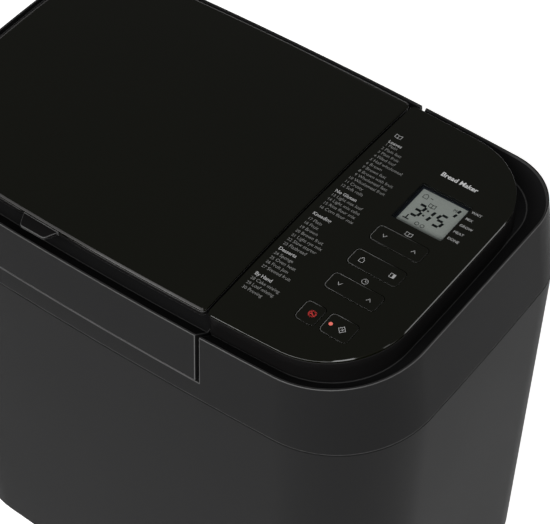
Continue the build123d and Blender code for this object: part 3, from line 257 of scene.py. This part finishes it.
def acrylic(name, dark, light, rough_low, rough_high, smears, detail):
    """Polished acrylic with handling marks that show in its roughness and barely in its tone."""
    material, tree, shader, place = start_material(name)
    tree.nodes.remove(place)
    smear = tree.nodes.new("ShaderNodeGroup")
    smear.node_tree = SMEARS
    smear.inputs["Smears per metre"].default_value = smears
    smear.inputs["Detail"].default_value = detail
    tree.links.new(between_tones(tree, dark, light, smear.outputs["Mask"]), shader.inputs["Base Color"])
    rough = between_values(tree, rough_low, rough_high, smear.outputs["Mask"])
    tree.links.new(rough, shader.inputs["Roughness"])
    return material, shader, rough.node


gloss_black, gloss_shader, gloss_ramp = acrylic("gloss_black", (0.0022, 0.0024, 0.0008),
                                                (0.00275, 0.0030, 0.0010), 0.08, 0.13, 14.0, 5.0)
gloss_shader.inputs["IOR"].default_value = 1.49
gloss_ramp.inputs["From Min"].default_value = 0.3
gloss_ramp.inputs["From Max"].default_value = 0.7
# A lighter grey for the lid cover's rim: a painted highlight.
cover_rim_highlight_paint = plastic("cover_rim_highlight_paint", (0.050, 0.048, 0.047), (0.066, 0.064, 0.063), 0.30, 0.38,
                     4000.0, 0.1, specular=0.5)
RIMS = {"lid_cover": (0.0015, 1), "control_window": (0.0005, 1)}  # width of the ground rim, and its steps
KEY_EDGE = (0.00015, 2)
SPLIT_SIDE = 0.004  # near the side of the panel the cover's rim keeps the gloss, without the painted highlight
GLOSS_PIECES = {"lid_cover": "cover", "control_window": "body", "select_key": "select_key",
                "option_key": "option_key", "timer_key": "timer_key", "stop_key": "stop_key",
                "start_key": "start_key"}
for source, body in GLOSS_PIECES.items():
    width, steps = RIMS.get(source, KEY_EDGE)
    rim = cover_rim_highlight_paint if source == "lid_cover" else gloss_black
    sheet = eased(source + "_polished", source, width, gloss_black, rim, steps, rim_only=source in RIMS)
    # The painted highlight is taken off the cover's rim on the side of the panel.
    if source == "lid_cover":
        for face in sheet.data.polygons:
            if face.normal.x > 0.5 and face.center.x > sheet.bound_box[6][0] - SPLIT_SIDE:
                face.material_index = 0
    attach(sheet, body)

# Printing on the glossy sheets. It is screen printed in pale grey ink a few hundredths of a millimetre
# thick, so it follows the crown of the top. Places and sizes of what is printed are in millimetres.
MM = 0.001
PRINT_LIFT = 0.00005
THIN_LINE, BOLD_LINE = 0.34, 0.36
window_low, window_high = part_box("control_window")
TOP = window_high[2]
window = nodes["control_window"].data
window_tree = BVHTree.FromPolygons([v.co for v in window.vertices], [p.vertices for p in window.polygons])
PROBE_Y = 0.085  # the crown is measured here, in the plain left margin of the window
probe = window_tree.ray_cast(Vector((window_low[0] + 0.008, -PROBE_Y, 1)), Vector((0, 0, -1)))[0]
drop = TOP - probe.z
crown_radius = (PROBE_Y ** 2 + drop ** 2) / (2 * drop)


def crown(y):
    """Height of the crowned top at a place along Y."""
    return TOP - crown_radius + sqrt(crown_radius ** 2 - y ** 2)


def speck_group():
    """Unevenness of a printed or pressed film: a mask, at a given number of specks per metre."""
    group = bpy.data.node_groups.new("film_specks", "ShaderNodeTree")
    group.interface.new_socket("Specks per metre", in_out="INPUT", socket_type="NodeSocketFloat")
    group.interface.new_socket("Mask", in_out="OUTPUT", socket_type="NodeSocketFloat")
    ends = group.nodes.new("NodeGroupInput"), group.nodes.new("NodeGroupOutput")
    place = group.nodes.new("ShaderNodeTexCoord")
    specks = group.nodes.new("ShaderNodeTexNoise")
    group.links.new(place.outputs["Object"], specks.inputs["Vector"])
    group.links.new(ends[0].outputs["Specks per metre"], specks.inputs["Scale"])
    group.links.new(specks.outputs["Fac"], ends[1].inputs["Mask"])
    return group


SPECKS = speck_group()


def ink(name, dark, light):
    """Printing ink: a pale tone that the screen leaves slightly uneven."""
    material, tree, shader, place = start_material(name)
    tree.nodes.remove(place)
    shader.inputs["Roughness"].default_value = 0.5
    uneven = tree.nodes.new("ShaderNodeGroup")
    uneven.node_tree = SPECKS
    uneven.inputs["Specks per metre"].default_value = 900.0
    tree.links.new(between_tones(tree, dark, light, uneven.outputs["Mask"]), shader.inputs["Base Color"])
    return material


def lay(name, form, material, body):
    """Turn a finished flat form into a piece of printing that moves with a body."""
    mesh = bpy.data.meshes.new(name)
    form.to_mesh(mesh)
    form.free()
    mesh.materials.append(material)
    piece = bpy.data.objects.new(name, mesh)
    bpy.context.scene.collection.objects.link(piece)
    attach(piece, body)
    return piece


def printed(name, shapes, material, body, height=crown, lift=PRINT_LIFT):
    """One piece of printing, from outlines in millimetres, laid on a surface."""
    form = bmesh.new()
    for shape in shapes:
        form.faces.new([form.verts.new((x * MM, y * MM, height(y * MM) + lift)) for x, y in shape])
    bmesh.ops.recalc_face_normals(form, faces=form.faces)
    for face in form.faces:
        if face.normal.z < 0:
            face.normal_flip()
    return lay(name, form, material, body)


def bar(x, y, length, height):
    """A plain rectangle, its left end's middle at a point."""
    low, high = y - height / 2, y + height / 2
    return [(x, low), (x + length, low), (x + length, high), (x, high)]


def stroke(points, width, closed=False):
    """A line of a given width through points, as one quadrilateral for each run."""
    ends = list(zip(points, points[1:] + points[:1])) if closed else list(zip(points, points[1:]))
    shapes = []
    for (ax, ay), (bx, by) in ends:
        run = hypot(bx - ax, by - ay)
        ux, uy = (bx - ax) / run * width / 2, (by - ay) / run * width / 2
        shapes.append([(ax - ux + uy, ay - uy - ux), (bx + ux + uy, by + uy - ux),
                       (bx + ux - uy, by + uy + ux), (ax - ux - uy, ay - uy + ux)])
    return shapes


def arc(x, y, radius, start, turn, steps):
    """Points along an arc about a point, from an angle in degrees."""
    angles = [radians(start + turn * k / steps) for k in range(steps + 1)]
    return [(x + radius * cos(angle), y + radius * sin(angle)) for angle in angles]


def ring(x, y, radius, width, steps=20):
    """A round line about a point."""
    return stroke(arc(x, y, radius, 0.0, 360.0, steps), width)


def lettering(name, lines, size, material, body, bold=0.0, height=crown, lift=PRINT_LIFT):
    """Plain words and numbers in millimetres: each line is a place, the text and which end is there."""
    form = bmesh.new()
    for x, y, words, end in lines:
        text = bpy.data.curves.new(name + "_text", "FONT")
        text.body = words
        text.size = size * MM
        text.align_x = end
        text.resolution_u = 3
        text.offset = bold * MM
        written = bpy.data.objects.new(name + "_text", text)
        bpy.context.scene.collection.objects.link(written)
        bpy.context.view_layer.update()
        flat = bpy.data.meshes.new_from_object(written.evaluated_get(bpy.context.evaluated_depsgraph_get()))
        for corner in flat.vertices:
            corner.co.x += x * MM
            corner.co.y += y * MM
            corner.co.z = height(corner.co.y) + lift
        form.from_mesh(flat)
        bpy.data.objects.remove(written)
        bpy.data.curves.remove(text)
        bpy.data.meshes.remove(flat)
    return lay(name, form, material, body)


pale_ink = ink("pale_ink", (0.17, 0.17, 0.165), (0.22, 0.22, 0.215))
bright_ink = ink("bright_ink", (0.34, 0.34, 0.34), (0.42, 0.42, 0.42))

# The programme list, printed down the left of the window: five groups of numbered lines under bold
# headings. Each group is the heading's height, the heading, the first line's height and the lines.
LIST_X = 82.3
ROW_PITCH = 4.22
BELOW_MIDDLE = 1.0  # from the middle of a line of small letters down to its foot
GROUPS = (
    (71.3, "Loaves", 68.0, ("Plain", "Plain fast", "Plain fruit", "Filled loaf", "Half wholemeal", "Brown",
                            "Brown fast", "Brown with fruit", "Wholemeal fast", "Wholemeal fruit",
                            "Crusty", "Soft rolls")),
    (15.4, "No Gluten", 11.4, ("Light mix loaf", "Light mix cake", "Rice flour mix", "Corn flour mix")),
    (-8.2, "Kneading", -13.4, ("Plain", "Fruit", "Brown", "Brown fruit", "Light rye mix", "Slow starter",
                               "Flatbread")),
    (-43.7, "Desserts", -48.2, ("Sponge", "Oven heat", "Fruit jam", "Stewed fruit")),
    (-67.9, "By Hand", -72.1, ("Cake mixing", "Loaf mixing", "Proving")),
)
headings, rows, row_numbers = [], [], []
for heading_y, heading, first_y, words in GROUPS:
    headings.append((LIST_X + (-0.2 if rows else 1.4), heading_y - BELOW_MIDDLE, heading, "LEFT"))
    for line, word in enumerate(words):
        row_y = first_y - line * ROW_PITCH - BELOW_MIDDLE
        row_numbers.append((LIST_X + 2.9, row_y, str(len(rows) + 1), "RIGHT"))
        rows.append((LIST_X + 3.9, row_y, word, "LEFT"))
lettering("programme_headings", headings, 3.7, bright_ink, "body", bold=0.07)
lettering("programme_lines", rows, 3.5, pale_ink, "body")
lettering("programme_numbers", row_numbers, 3.2, pale_ink, "body")


def book(x, y, size, weight):
    """An open book: two leaves about a spine."""
    shapes = []
    for side in (-1, 1):
        shapes += stroke([(x, y - size * 0.36), (x + side * size * 0.5, y - size * 0.26),
                          (x + side * size * 0.5, y + size * 0.34), (x, y + size * 0.24)], weight)
    return shapes + stroke([(x, y - size * 0.36), (x, y + size * 0.24)], weight)


LENS_HIGH = [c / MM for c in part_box("lcd_lens")[1]]
PHASES = ("WAIT", "MIX", "GROW", "HEAT", "DONE")
PHASE_PITCH = 6.7
BOOK_SIZE = 4.6
CLOCK_X, CLOCK_Y = 141.1, -35.7
phases = [(LENS_HIGH[0] + 1.5, LENS_HIGH[1] - 4.6 - index * PHASE_PITCH, word, "LEFT")
          for index, word in enumerate(PHASES)]
lettering("phase_words", phases, 2.9, bright_ink, "body", bold=0.02)
books = book(LIST_X + 4.2, 78.4, BOOK_SIZE, BOLD_LINE) + book(140.9, 11.1, BOOK_SIZE, BOLD_LINE)
printed("recipe_symbols", books, bright_ink, "body")
hands = [(CLOCK_X, CLOCK_Y + 1.2), (CLOCK_X, CLOCK_Y), (CLOCK_X + 1.0, CLOCK_Y)]
printed("clock_symbol", ring(CLOCK_X, CLOCK_Y, 2.0, BOLD_LINE) + stroke(hands, THIN_LINE), bright_ink, "body")
maker_ink = ink("maker_ink", (0.55, 0.55, 0.55), (0.66, 0.66, 0.66))
lettering("maker_words", [(141.0, 65.6, "Bread Maker", "CENTER")], 5.2, maker_ink, "body", bold=0.12)

# Marks and pressed outlines on the keys. The film over each key has a raised bead pressed along its
# edge, painted light at the left end and dark towards the right end, a painted highlight, and arrows or
# symbols are printed inside it.
BEAD_W = 0.34
BEAD_R = 2.8
BEAD_LIFT = 0.00009


def bead_material():
    """Pressed edge of the film: painted light at the left end and dark elsewhere, a painted highlight."""
    material, tree, shader, place = start_material("bead_highlight_paint")
    shader.inputs["Roughness"].default_value = 0.35
    across = tree.nodes.new("ShaderNodeMapping")
    across.inputs["Rotation"].default_value = (0, 0, radians(20))
    fade = tree.nodes.new("ShaderNodeTexGradient")
    speck = tree.nodes.new("ShaderNodeGroup")
    speck.node_tree = SPECKS
    speck.inputs["Specks per metre"].default_value = 600.0
    uneven = tree.nodes.new("ShaderNodeMath")
    uneven.operation = "MULTIPLY"
    tree.links.new(place.outputs["Generated"], across.inputs["Vector"])
    tree.links.new(across.outputs["Vector"], fade.inputs["Vector"])
    # Lighter towards the left end of the key: a painted highlight.
    left = between_values(tree, 1.0, 0.0, fade.outputs["Fac"])
    left.node.inputs["From Max"].default_value = 0.38
    tree.links.new(left, uneven.inputs[0])
    tree.links.new(speck.outputs["Mask"], uneven.inputs[1])
    tree.links.new(between_tones(tree, (0.007, 0.007, 0.006), (0.26, 0.26, 0.255), uneven.outputs["Value"]),
                   shader.inputs["Base Color"])
    return material


bead_highlight_paint = bead_material()


def bead(key):
    """The raised line round a key, just inside its edge."""
    low, high = [[c / MM for c in corner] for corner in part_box(key)]
    inset = BEAD_W / 2 + 0.15 + BEAD_R
    left, right, front, rear = low[0] + inset, high[0] - inset, low[1] + inset, high[1] - inset
    points = []
    for x, y, start in ((right, rear, 0), (left, rear, 90), (left, front, 180), (right, front, 270)):
        points += arc(x, y, BEAD_R, start, 90, 6)
    return printed(key + "_bead", stroke(points, BEAD_W, closed=True), bead_highlight_paint, key, lift=BEAD_LIFT)


def middle(key):
    """Middle of a key seen from above, in millimetres."""
    low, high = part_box(key)
    return (low[0] + high[0]) / 2 / MM, (low[1] + high[1]) / 2 / MM


for key in ("select_key", "option_key", "timer_key", "stop_key", "start_key"):
    bead(key)
for key in ("select_key", "timer_key"):
    x, y = middle(key)
    arrows = stroke([(x - 12.4, y + 0.9), (x - 11.0, y - 1.1), (x - 9.6, y + 0.9)], THIN_LINE)
    arrows += stroke([(x + 9.7, y - 1.3), (x + 11.1, y + 0.7), (x + 12.5, y - 1.3)], THIN_LINE)
    printed(key + "_arrows", arrows, bright_ink, key)
x, y = middle("option_key")
loaf = [(x - 12.4, y - 2.1), (x - 12.4, y + 0.3), (x - 11.6, y + 0.7), (x - 11.6, y + 1.6),
        (x - 10.9, y + 2.0), (x - 10.1, y + 1.6), (x - 10.1, y + 0.7), (x - 9.3, y + 0.3), (x - 9.3, y - 2.1)]
cut_loaf = [(x + 9.9, y - 1.7), (x + 9.9, y + 1.5), (x + 13.3, y + 1.5), (x + 13.3, y - 1.7)]
half = [(x + 11.7, y - 1.7), (x + 13.3, y - 1.7), (x + 13.3, y + 1.5), (x + 11.7, y + 1.5)]
printed("option_key_symbols", stroke(loaf, THIN_LINE, closed=True) + stroke(cut_loaf, THIN_LINE, closed=True)
        + [half], bright_ink, "option_key")
x, y = middle("start_key")
diamond = stroke([(x - 0.4, y), (x + 2.1, y + 2.6), (x + 4.6, y), (x + 2.1, y - 2.6)], BOLD_LINE, closed=True)
diamond += stroke([(x + 1.6, y + 0.8), (x + 2.1, y), (x + 1.6, y - 0.8)], 0.3)
diamond += [bar(x + 2.5, y, BOLD_LINE, 1.7)]
printed("start_key_symbol", diamond, bright_ink, "start_key")
red_ink = ink("red_ink", (0.42, 0.025, 0.025), (0.52, 0.04, 0.035))
x, y = middle("stop_key")
stop_mark = ring(x + 1.2, y, 2.2, 0.9) + stroke([(x - 0.4, y + 1.4), (x + 2.8, y - 1.4)], 0.6)
printed("stop_key_symbol", stop_mark + [bar(x - 0.2, y - 0.2, 1.6, 0.7)], red_ink, "stop_key")

# Start light: a red light pipe moulded in clear tinted plastic and pressed into the start key. It is lit
# from the board below.
light_pipe = plastic("light_pipe", (0.55, 0.10, 0.08), (0.70, 0.16, 0.12), 0.3, 0.4, 4000.0, 0.05)
light_shader = light_pipe.node_tree.nodes["Principled BSDF"]
light_shader.inputs["Emission Color"].default_value = (1.0, 0.25, 0.2, 1)
light_shader.inputs["Emission Strength"].default_value = 0.2
finish_nodes(light_pipe, "start_light")

# Display: a reflective liquid crystal cell, seated in a dark moulded frame behind a clear acrylic lens that
# is set into the window. Its dark segments lie on the front of the cell.
cell_low, cell_high = [[c / MM for c in corner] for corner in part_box("lcd_display")]
cell_top = cell_high[2] * MM
lcd_glass = plastic("lcd_glass", (0.38, 0.415, 0.382), (0.42, 0.46, 0.425), 0.35, 0.45, 3000.0, 0.02,
                    specular=0.2)
finish_nodes(lcd_glass, "lcd_display")
lcd_dark = ink("lcd_segments", (0.003, 0.004, 0.004), (0.005, 0.006, 0.006))
lcd_dark.node_tree.nodes["Principled BSDF"].inputs["Specular IOR Level"].default_value = 0.1


def digit(x, y, height, segments, width):
    """Some of the seven slanted bars of a numeral."""
    slant, w, h = height * 0.08, height * 0.52, height
    spots = {"a": ((0, h), (w, h)), "b": ((w, h), (w, h / 2)), "c": ((w, h / 2), (w, 0)),
             "d": ((0, 0), (w, 0)), "f": ((0, h / 2), (0, h)), "g": ((0, h / 2), (w, h / 2))}
    shapes = []
    for name in segments:
        (ax, ay), (bx, by) = spots[name]
        gap = width * 0.35
        run = hypot(bx - ax, by - ay)
        ux, uy = (bx - ax) / run * (width / 2 + gap), (by - ay) / run * (width / 2 + gap)
        start = (x + ax + ux + slant * ay / h, y + ay + uy)
        end = (x + bx - ux + slant * by / h, y + by - uy)
        shapes += stroke([start, end], width)
    return shapes


left, front = cell_low[:2]
right, rear = cell_high[:2]
DIGIT_Y, DIGIT_H, DIGIT_LINE = front + 9.4, 10.2, 1.9
segments = digit(left + 4.4, DIGIT_Y, DIGIT_H, "abcdg", DIGIT_LINE)
segments += [bar(left + 12.2, front + 17.2, 1.4, 1.4), bar(left + 11.8, front + 12.4, 1.4, 1.4)]
segments += digit(left + 11.2, DIGIT_Y, DIGIT_H, "bc", DIGIT_LINE)
segments += digit(left + 20.6, DIGIT_Y, DIGIT_H, "acdfg", DIGIT_LINE)
segments += digit(right - 9.0, front + 21.6, 8.2, "bc", 1.7)
house = [(left + 3.2, rear - 6.6), (left + 3.2, rear - 4.2), (left + 4.8, rear - 2.8), (left + 6.4, rear - 4.2),
         (left + 6.4, rear - 6.6)]
segments += stroke(house, 0.4, closed=True) + [bar(left + 8.2, rear - 4.6, 1.9, 0.5)]
segments += book(left + 12.8, rear - 9.8, BOOK_SIZE, 0.45)
segments += [bar(left + 2.2, front + 4.6, 4.6, 0.9), bar(left + 4.0, front + 6.4, 0.9, 3.6)]
for ring_x in (left + 13.0, left + 17.0):
    segments += ring(ring_x, front + 4.6, 1.3, 0.4, steps=12)
printed("lcd_marks", segments, lcd_dark, "body", height=lambda y: cell_top)
lettering("lcd_size_mark", [(right - 8.2, rear - 5.6, "M", "LEFT")], 3.4, lcd_dark, "body",
          height=lambda y: cell_top)
lens_acrylic, lens_shader, _ = acrylic("lens_acrylic", (0.004, 0.006, 0.008), (0.0052, 0.0078, 0.0104),
                                       0.03, 0.08, 60.0, 2.0)
lens_shader.inputs["Alpha"].default_value = 0.14
finish_nodes(lens_acrylic, "lcd_lens")
lcd_frame_plastic = plastic("lcd_frame_plastic", (0.006, 0.008, 0.013), (0.009, 0.012, 0.018), 0.35, 0.45,
                            4000.0, 0.1)
finish_nodes(lcd_frame_plastic, "lcd_frame")


# Sheet and turned metal: the chamber liner and lid liner, brackets, pins, shafts and screws. Sheet is
# rolled and pressed, so its grain runs one way; turned pieces carry rings.
def drawn_group():
    """Metal grain: fine lines drawn out in one direction, and dull clouds."""
    group = bpy.data.node_groups.new("drawn_grain", "ShaderNodeTree")
    group.interface.new_socket("Stretch", in_out="INPUT", socket_type="NodeSocketVector")
    group.interface.new_socket("Lines", in_out="OUTPUT", socket_type="NodeSocketFloat")
    group.interface.new_socket("Clouds", in_out="OUTPUT", socket_type="NodeSocketFloat")
    ends = group.nodes.new("NodeGroupInput"), group.nodes.new("NodeGroupOutput")
    place = group.nodes.new("ShaderNodeTexCoord")
    along = group.nodes.new("ShaderNodeMapping")
    lines = group.nodes.new("ShaderNodeTexNoise")
    lines.inputs["Scale"].default_value = 60.0
    lines.inputs["Detail"].default_value = 4.0
    clouds = group.nodes.new("ShaderNodeTexNoise")
    clouds.inputs["Scale"].default_value = 22.0
    group.links.new(ends[0].outputs["Stretch"], along.inputs["Scale"])
    group.links.new(place.outputs["Object"], along.inputs["Vector"])
    group.links.new(along.outputs["Vector"], lines.inputs["Vector"])
    group.links.new(place.outputs["Object"], clouds.inputs["Vector"])
    group.links.new(lines.outputs["Fac"], ends[1].inputs["Lines"])
    group.links.new(clouds.outputs["Fac"], ends[1].inputs["Clouds"])
    return group


DRAWN = drawn_group()
DRAWN_DEPTH = 0.00005


def metal(name, dark, light, rough_low, rough_high, stretch, bump=0.15):
    """Bare metal with a directional grain, duller in cloudy patches."""
    material, tree, shader, place = start_material(name)
    tree.nodes.remove(place)
    shader.inputs["Metallic"].default_value = 1.0
    grain = tree.nodes.new("ShaderNodeGroup")
    grain.node_tree = DRAWN
    grain.inputs["Stretch"].default_value = stretch
    relief = tree.nodes.new("ShaderNodeBump")
    relief.inputs["Strength"].default_value = bump
    relief.inputs["Distance"].default_value = DRAWN_DEPTH
    tree.links.new(grain.outputs["Lines"], relief.inputs["Height"])
    tree.links.new(between_values(tree, rough_low, rough_high, grain.outputs["Clouds"]),
                   shader.inputs["Roughness"])
    tree.links.new(between_tones(tree, dark, light, grain.outputs["Lines"]), shader.inputs["Base Color"])
    tree.links.new(relief.outputs["Normal"], shader.inputs["Normal"])
    return material


rolled_steel = metal("rolled_steel", (0.42, 0.42, 0.42), (0.55, 0.55, 0.55), 0.28, 0.40, (1, 1, 30))
pressed_aluminium = metal("pressed_aluminium", (0.60, 0.60, 0.61), (0.72, 0.72, 0.73), 0.30, 0.42, (30, 1, 1))
turned_steel = metal("turned_steel", (0.40, 0.40, 0.41), (0.54, 0.54, 0.55), 0.18, 0.28, (1, 1, 60))
zinc_plate = metal("zinc_plate", (0.36, 0.38, 0.36), (0.52, 0.54, 0.50), 0.30, 0.46, (2, 2, 2), 0.25)
sintered_bronze = metal("sintered_bronze", (0.36, 0.25, 0.11), (0.48, 0.34, 0.16), 0.35, 0.5, (8, 8, 8), 0.4)
heater_sheath = metal("heater_sheath", (0.10, 0.085, 0.075), (0.20, 0.17, 0.15), 0.35, 0.55, (4, 4, 4), 0.3)
finish_nodes(rolled_steel, "chamber_liner")
finish_nodes(pressed_aluminium, "lid_liner", "pan_base_ring", "pan_holder", "drive_coupling", "dispenser_flap")
finish_nodes(turned_steel, "lid_screws", "lid_hinge_pins", "cover_hinge_pins", "flap_pin", "solenoid_plunger",
             "drive_shaft", "pan_spindle", "motor_shaft", "bail_pivots", "bail_handle", "temperature_sensor")
finish_nodes(zinc_plate, "frame_screws", "heater_clips", "chassis_plate", "heat_shield", "chamber_standoffs",
             "motor", "dispenser_solenoid")
finish_nodes(sintered_bronze, "drive_bearing", "pan_bush")
finish_nodes(heater_sheath, "heater_ring")

# Non-stick pan and kneading blade: cast and pressed aluminium under a dark speckled coating, rubbed
# brighter at the rims. The blade slips over the spindle.
coating = plastic("nonstick_coating", (0.022, 0.021, 0.021), (0.045, 0.044, 0.043), 0.30, 0.42,
                  1500.0, 0.25, wear=0.10)
finish_nodes(coating, "bread_pan", "kneading_blade")

# Feet, belt, motor grommets and cord gland are moulded in black rubber; the gasket of the lid and the seal
# of the cover are extruded in grey silicone and pressed into their grooves.
black_rubber = plastic("black_rubber", (0.010, 0.010, 0.010), (0.018, 0.018, 0.018), 0.75, 0.9, 1800.0, 0.3)
finish_nodes(black_rubber, "rubber_feet", "drive_belt", "motor_mounts", "cord_gland")
grey_silicone = plastic("grey_silicone", (0.16, 0.155, 0.15), (0.21, 0.205, 0.20), 0.55, 0.7, 2200.0, 0.1)
finish_nodes(grey_silicone, "lid_gasket", "cover_seal")

# Inner mouldings: the base plate and the dispenser bin in the casing's black, screwed and snapped in, and
# the two belt pulleys in white acetal, pressed on their shafts.
inner_black = plastic("inner_black", (0.012, 0.012, 0.012), (0.018, 0.018, 0.018), 0.5, 0.62, 2400.0, 0.3)
finish_nodes(inner_black, "base_plate", "dispenser_bin")
white_acetal = plastic("white_acetal", (0.58, 0.57, 0.53), (0.66, 0.65, 0.61), 0.35, 0.45, 3000.0, 0.1)
finish_nodes(white_acetal, "large_pulley", "motor_pulley")


# Circuit boards: green glass laminate with paler tracks under the lacquer, screwed to their posts. The
# components and switches soldered to them are moulded in black.
def board(name, green, track):
    """Lacquered circuit board: tracks laid in a square pattern."""
    material, tree, shader, place = start_material(name)
    shader.inputs["Roughness"].default_value = 0.35
    tracks = tree.nodes.new("ShaderNodeTexBrick")
    tracks.inputs["Scale"].default_value = 90.0
    tracks.inputs["Mortar Size"].default_value = 0.03
    tracks.inputs["Color1"].default_value = (*green, 1)
    tracks.inputs["Color2"].default_value = (*[c * 1.2 for c in green], 1)
    tracks.inputs["Mortar"].default_value = (*track, 1)
    tree.links.new(place.outputs["Object"], tracks.inputs["Vector"])
    tree.links.new(tracks.outputs["Color"], shader.inputs["Base Color"])
    return material


lacquered_board = board("lacquered_board", (0.012, 0.085, 0.03), (0.04, 0.16, 0.06))
finish_nodes(lacquered_board, "control_board", "power_board")
component_black = plastic("component_black", (0.014, 0.014, 0.015), (0.022, 0.022, 0.023), 0.45, 0.6,
                          3500.0, 0.2)
finish_nodes(component_black, "board_components", "tact_switches")
capacitor_sleeve = plastic("capacitor_sleeve", (0.02, 0.03, 0.06), (0.03, 0.045, 0.085), 0.35, 0.45,
                           2500.0, 0.1)
finish_nodes(capacitor_sleeve, "capacitor")

# Stage, light and camera. A pale matt floor under a dim even sky, with four soft boxes: in front, at the
# front right corner, on the right and behind it. The camera has a long lens and looks down on the top.
floor_mesh = bpy.data.meshes.new("studio_floor")
floor_mesh.from_pydata([(-6, -6, 0), (6, -6, 0), (6, 6, 0), (-6, 6, 0)], [], [(0, 1, 2, 3)])
floor = bpy.data.objects.new("studio_floor", floor_mesh)
bpy.context.scene.collection.objects.link(floor)
floor_paint = bpy.data.materials.new("floor_paint")
floor_paint.use_nodes = True
floor_shader = floor_paint.node_tree.nodes["Principled BSDF"]
floor_shader.inputs["Base Color"].default_value = (0.9, 0.9, 0.9, 1)
floor_shader.inputs["Roughness"].default_value = 0.9
floor_shader.inputs["Emission Color"].default_value = (1, 1, 1, 1)
floor_shader.inputs["Emission Strength"].default_value = 0.75
floor_mesh.materials.append(floor_paint)

world = bpy.data.worlds.new("studio")
bpy.context.scene.world = world
world.use_nodes = True
world.node_tree.nodes["Background"].inputs["Color"].default_value = (1, 1, 1, 1)
world.node_tree.nodes["Background"].inputs["Strength"].default_value = 0.12


def soft_box(name, place, target, size, power):
    """A square soft light aimed at a point."""
    light = bpy.data.lights.new(name, "AREA")
    light.shape = "RECTANGLE"
    light.size, light.size_y = size
    light.energy = power
    lamp = bpy.data.objects.new(name, light)
    lamp.location = place
    lamp.rotation_euler = (Vector(target) - Vector(place)).to_track_quat("-Z", "Y").to_euler()
    bpy.context.scene.collection.objects.link(lamp)
    return lamp


soft_box("front_strip", (-0.1, -2.05, 1.85), (0, 0, 0.36), (2.6, 0.8), 58)
soft_box("front_corner", (1.40, -1.60, 1.95), (0.1, -0.1, 0.36), (1.3, 0.8), 22)
soft_box("right_strip", (2.0, 0.2, 1.75), (0, 0, 0.36), (0.6, 2.6), 7)
soft_box("rear_right", (1.95, 1.3, 1.2), (0, 0, 0.36), (1.0, 0.8), 8)

YAW, PITCH, ROLL = radians(-38.90), radians(-48.12), radians(-2.43)
view = Vector((sin(YAW) * cos(PITCH), cos(YAW) * cos(PITCH), sin(PITCH)))
level = Vector((cos(YAW), -sin(YAW), 0))
upright = level.cross(view)
right = level * cos(ROLL) + upright * sin(ROLL)
up = upright * cos(ROLL) - level * sin(ROLL)
lens = bpy.data.cameras.new("camera")
lens.sensor_width = 36.0
lens.lens = 149.99
lens.shift_x = 0.0242
lens.shift_y = -0.0113
camera = bpy.data.objects.new("camera", lens)
camera.matrix_world = (Matrix.Translation((0.66538, -0.78373, 1.40551))
                       @ Matrix((right, up, -view)).transposed().to_4x4())
bpy.context.scene.collection.objects.link(camera)
bpy.context.scene.camera = camera
bpy.context.scene.view_settings.view_transform = "Standard"
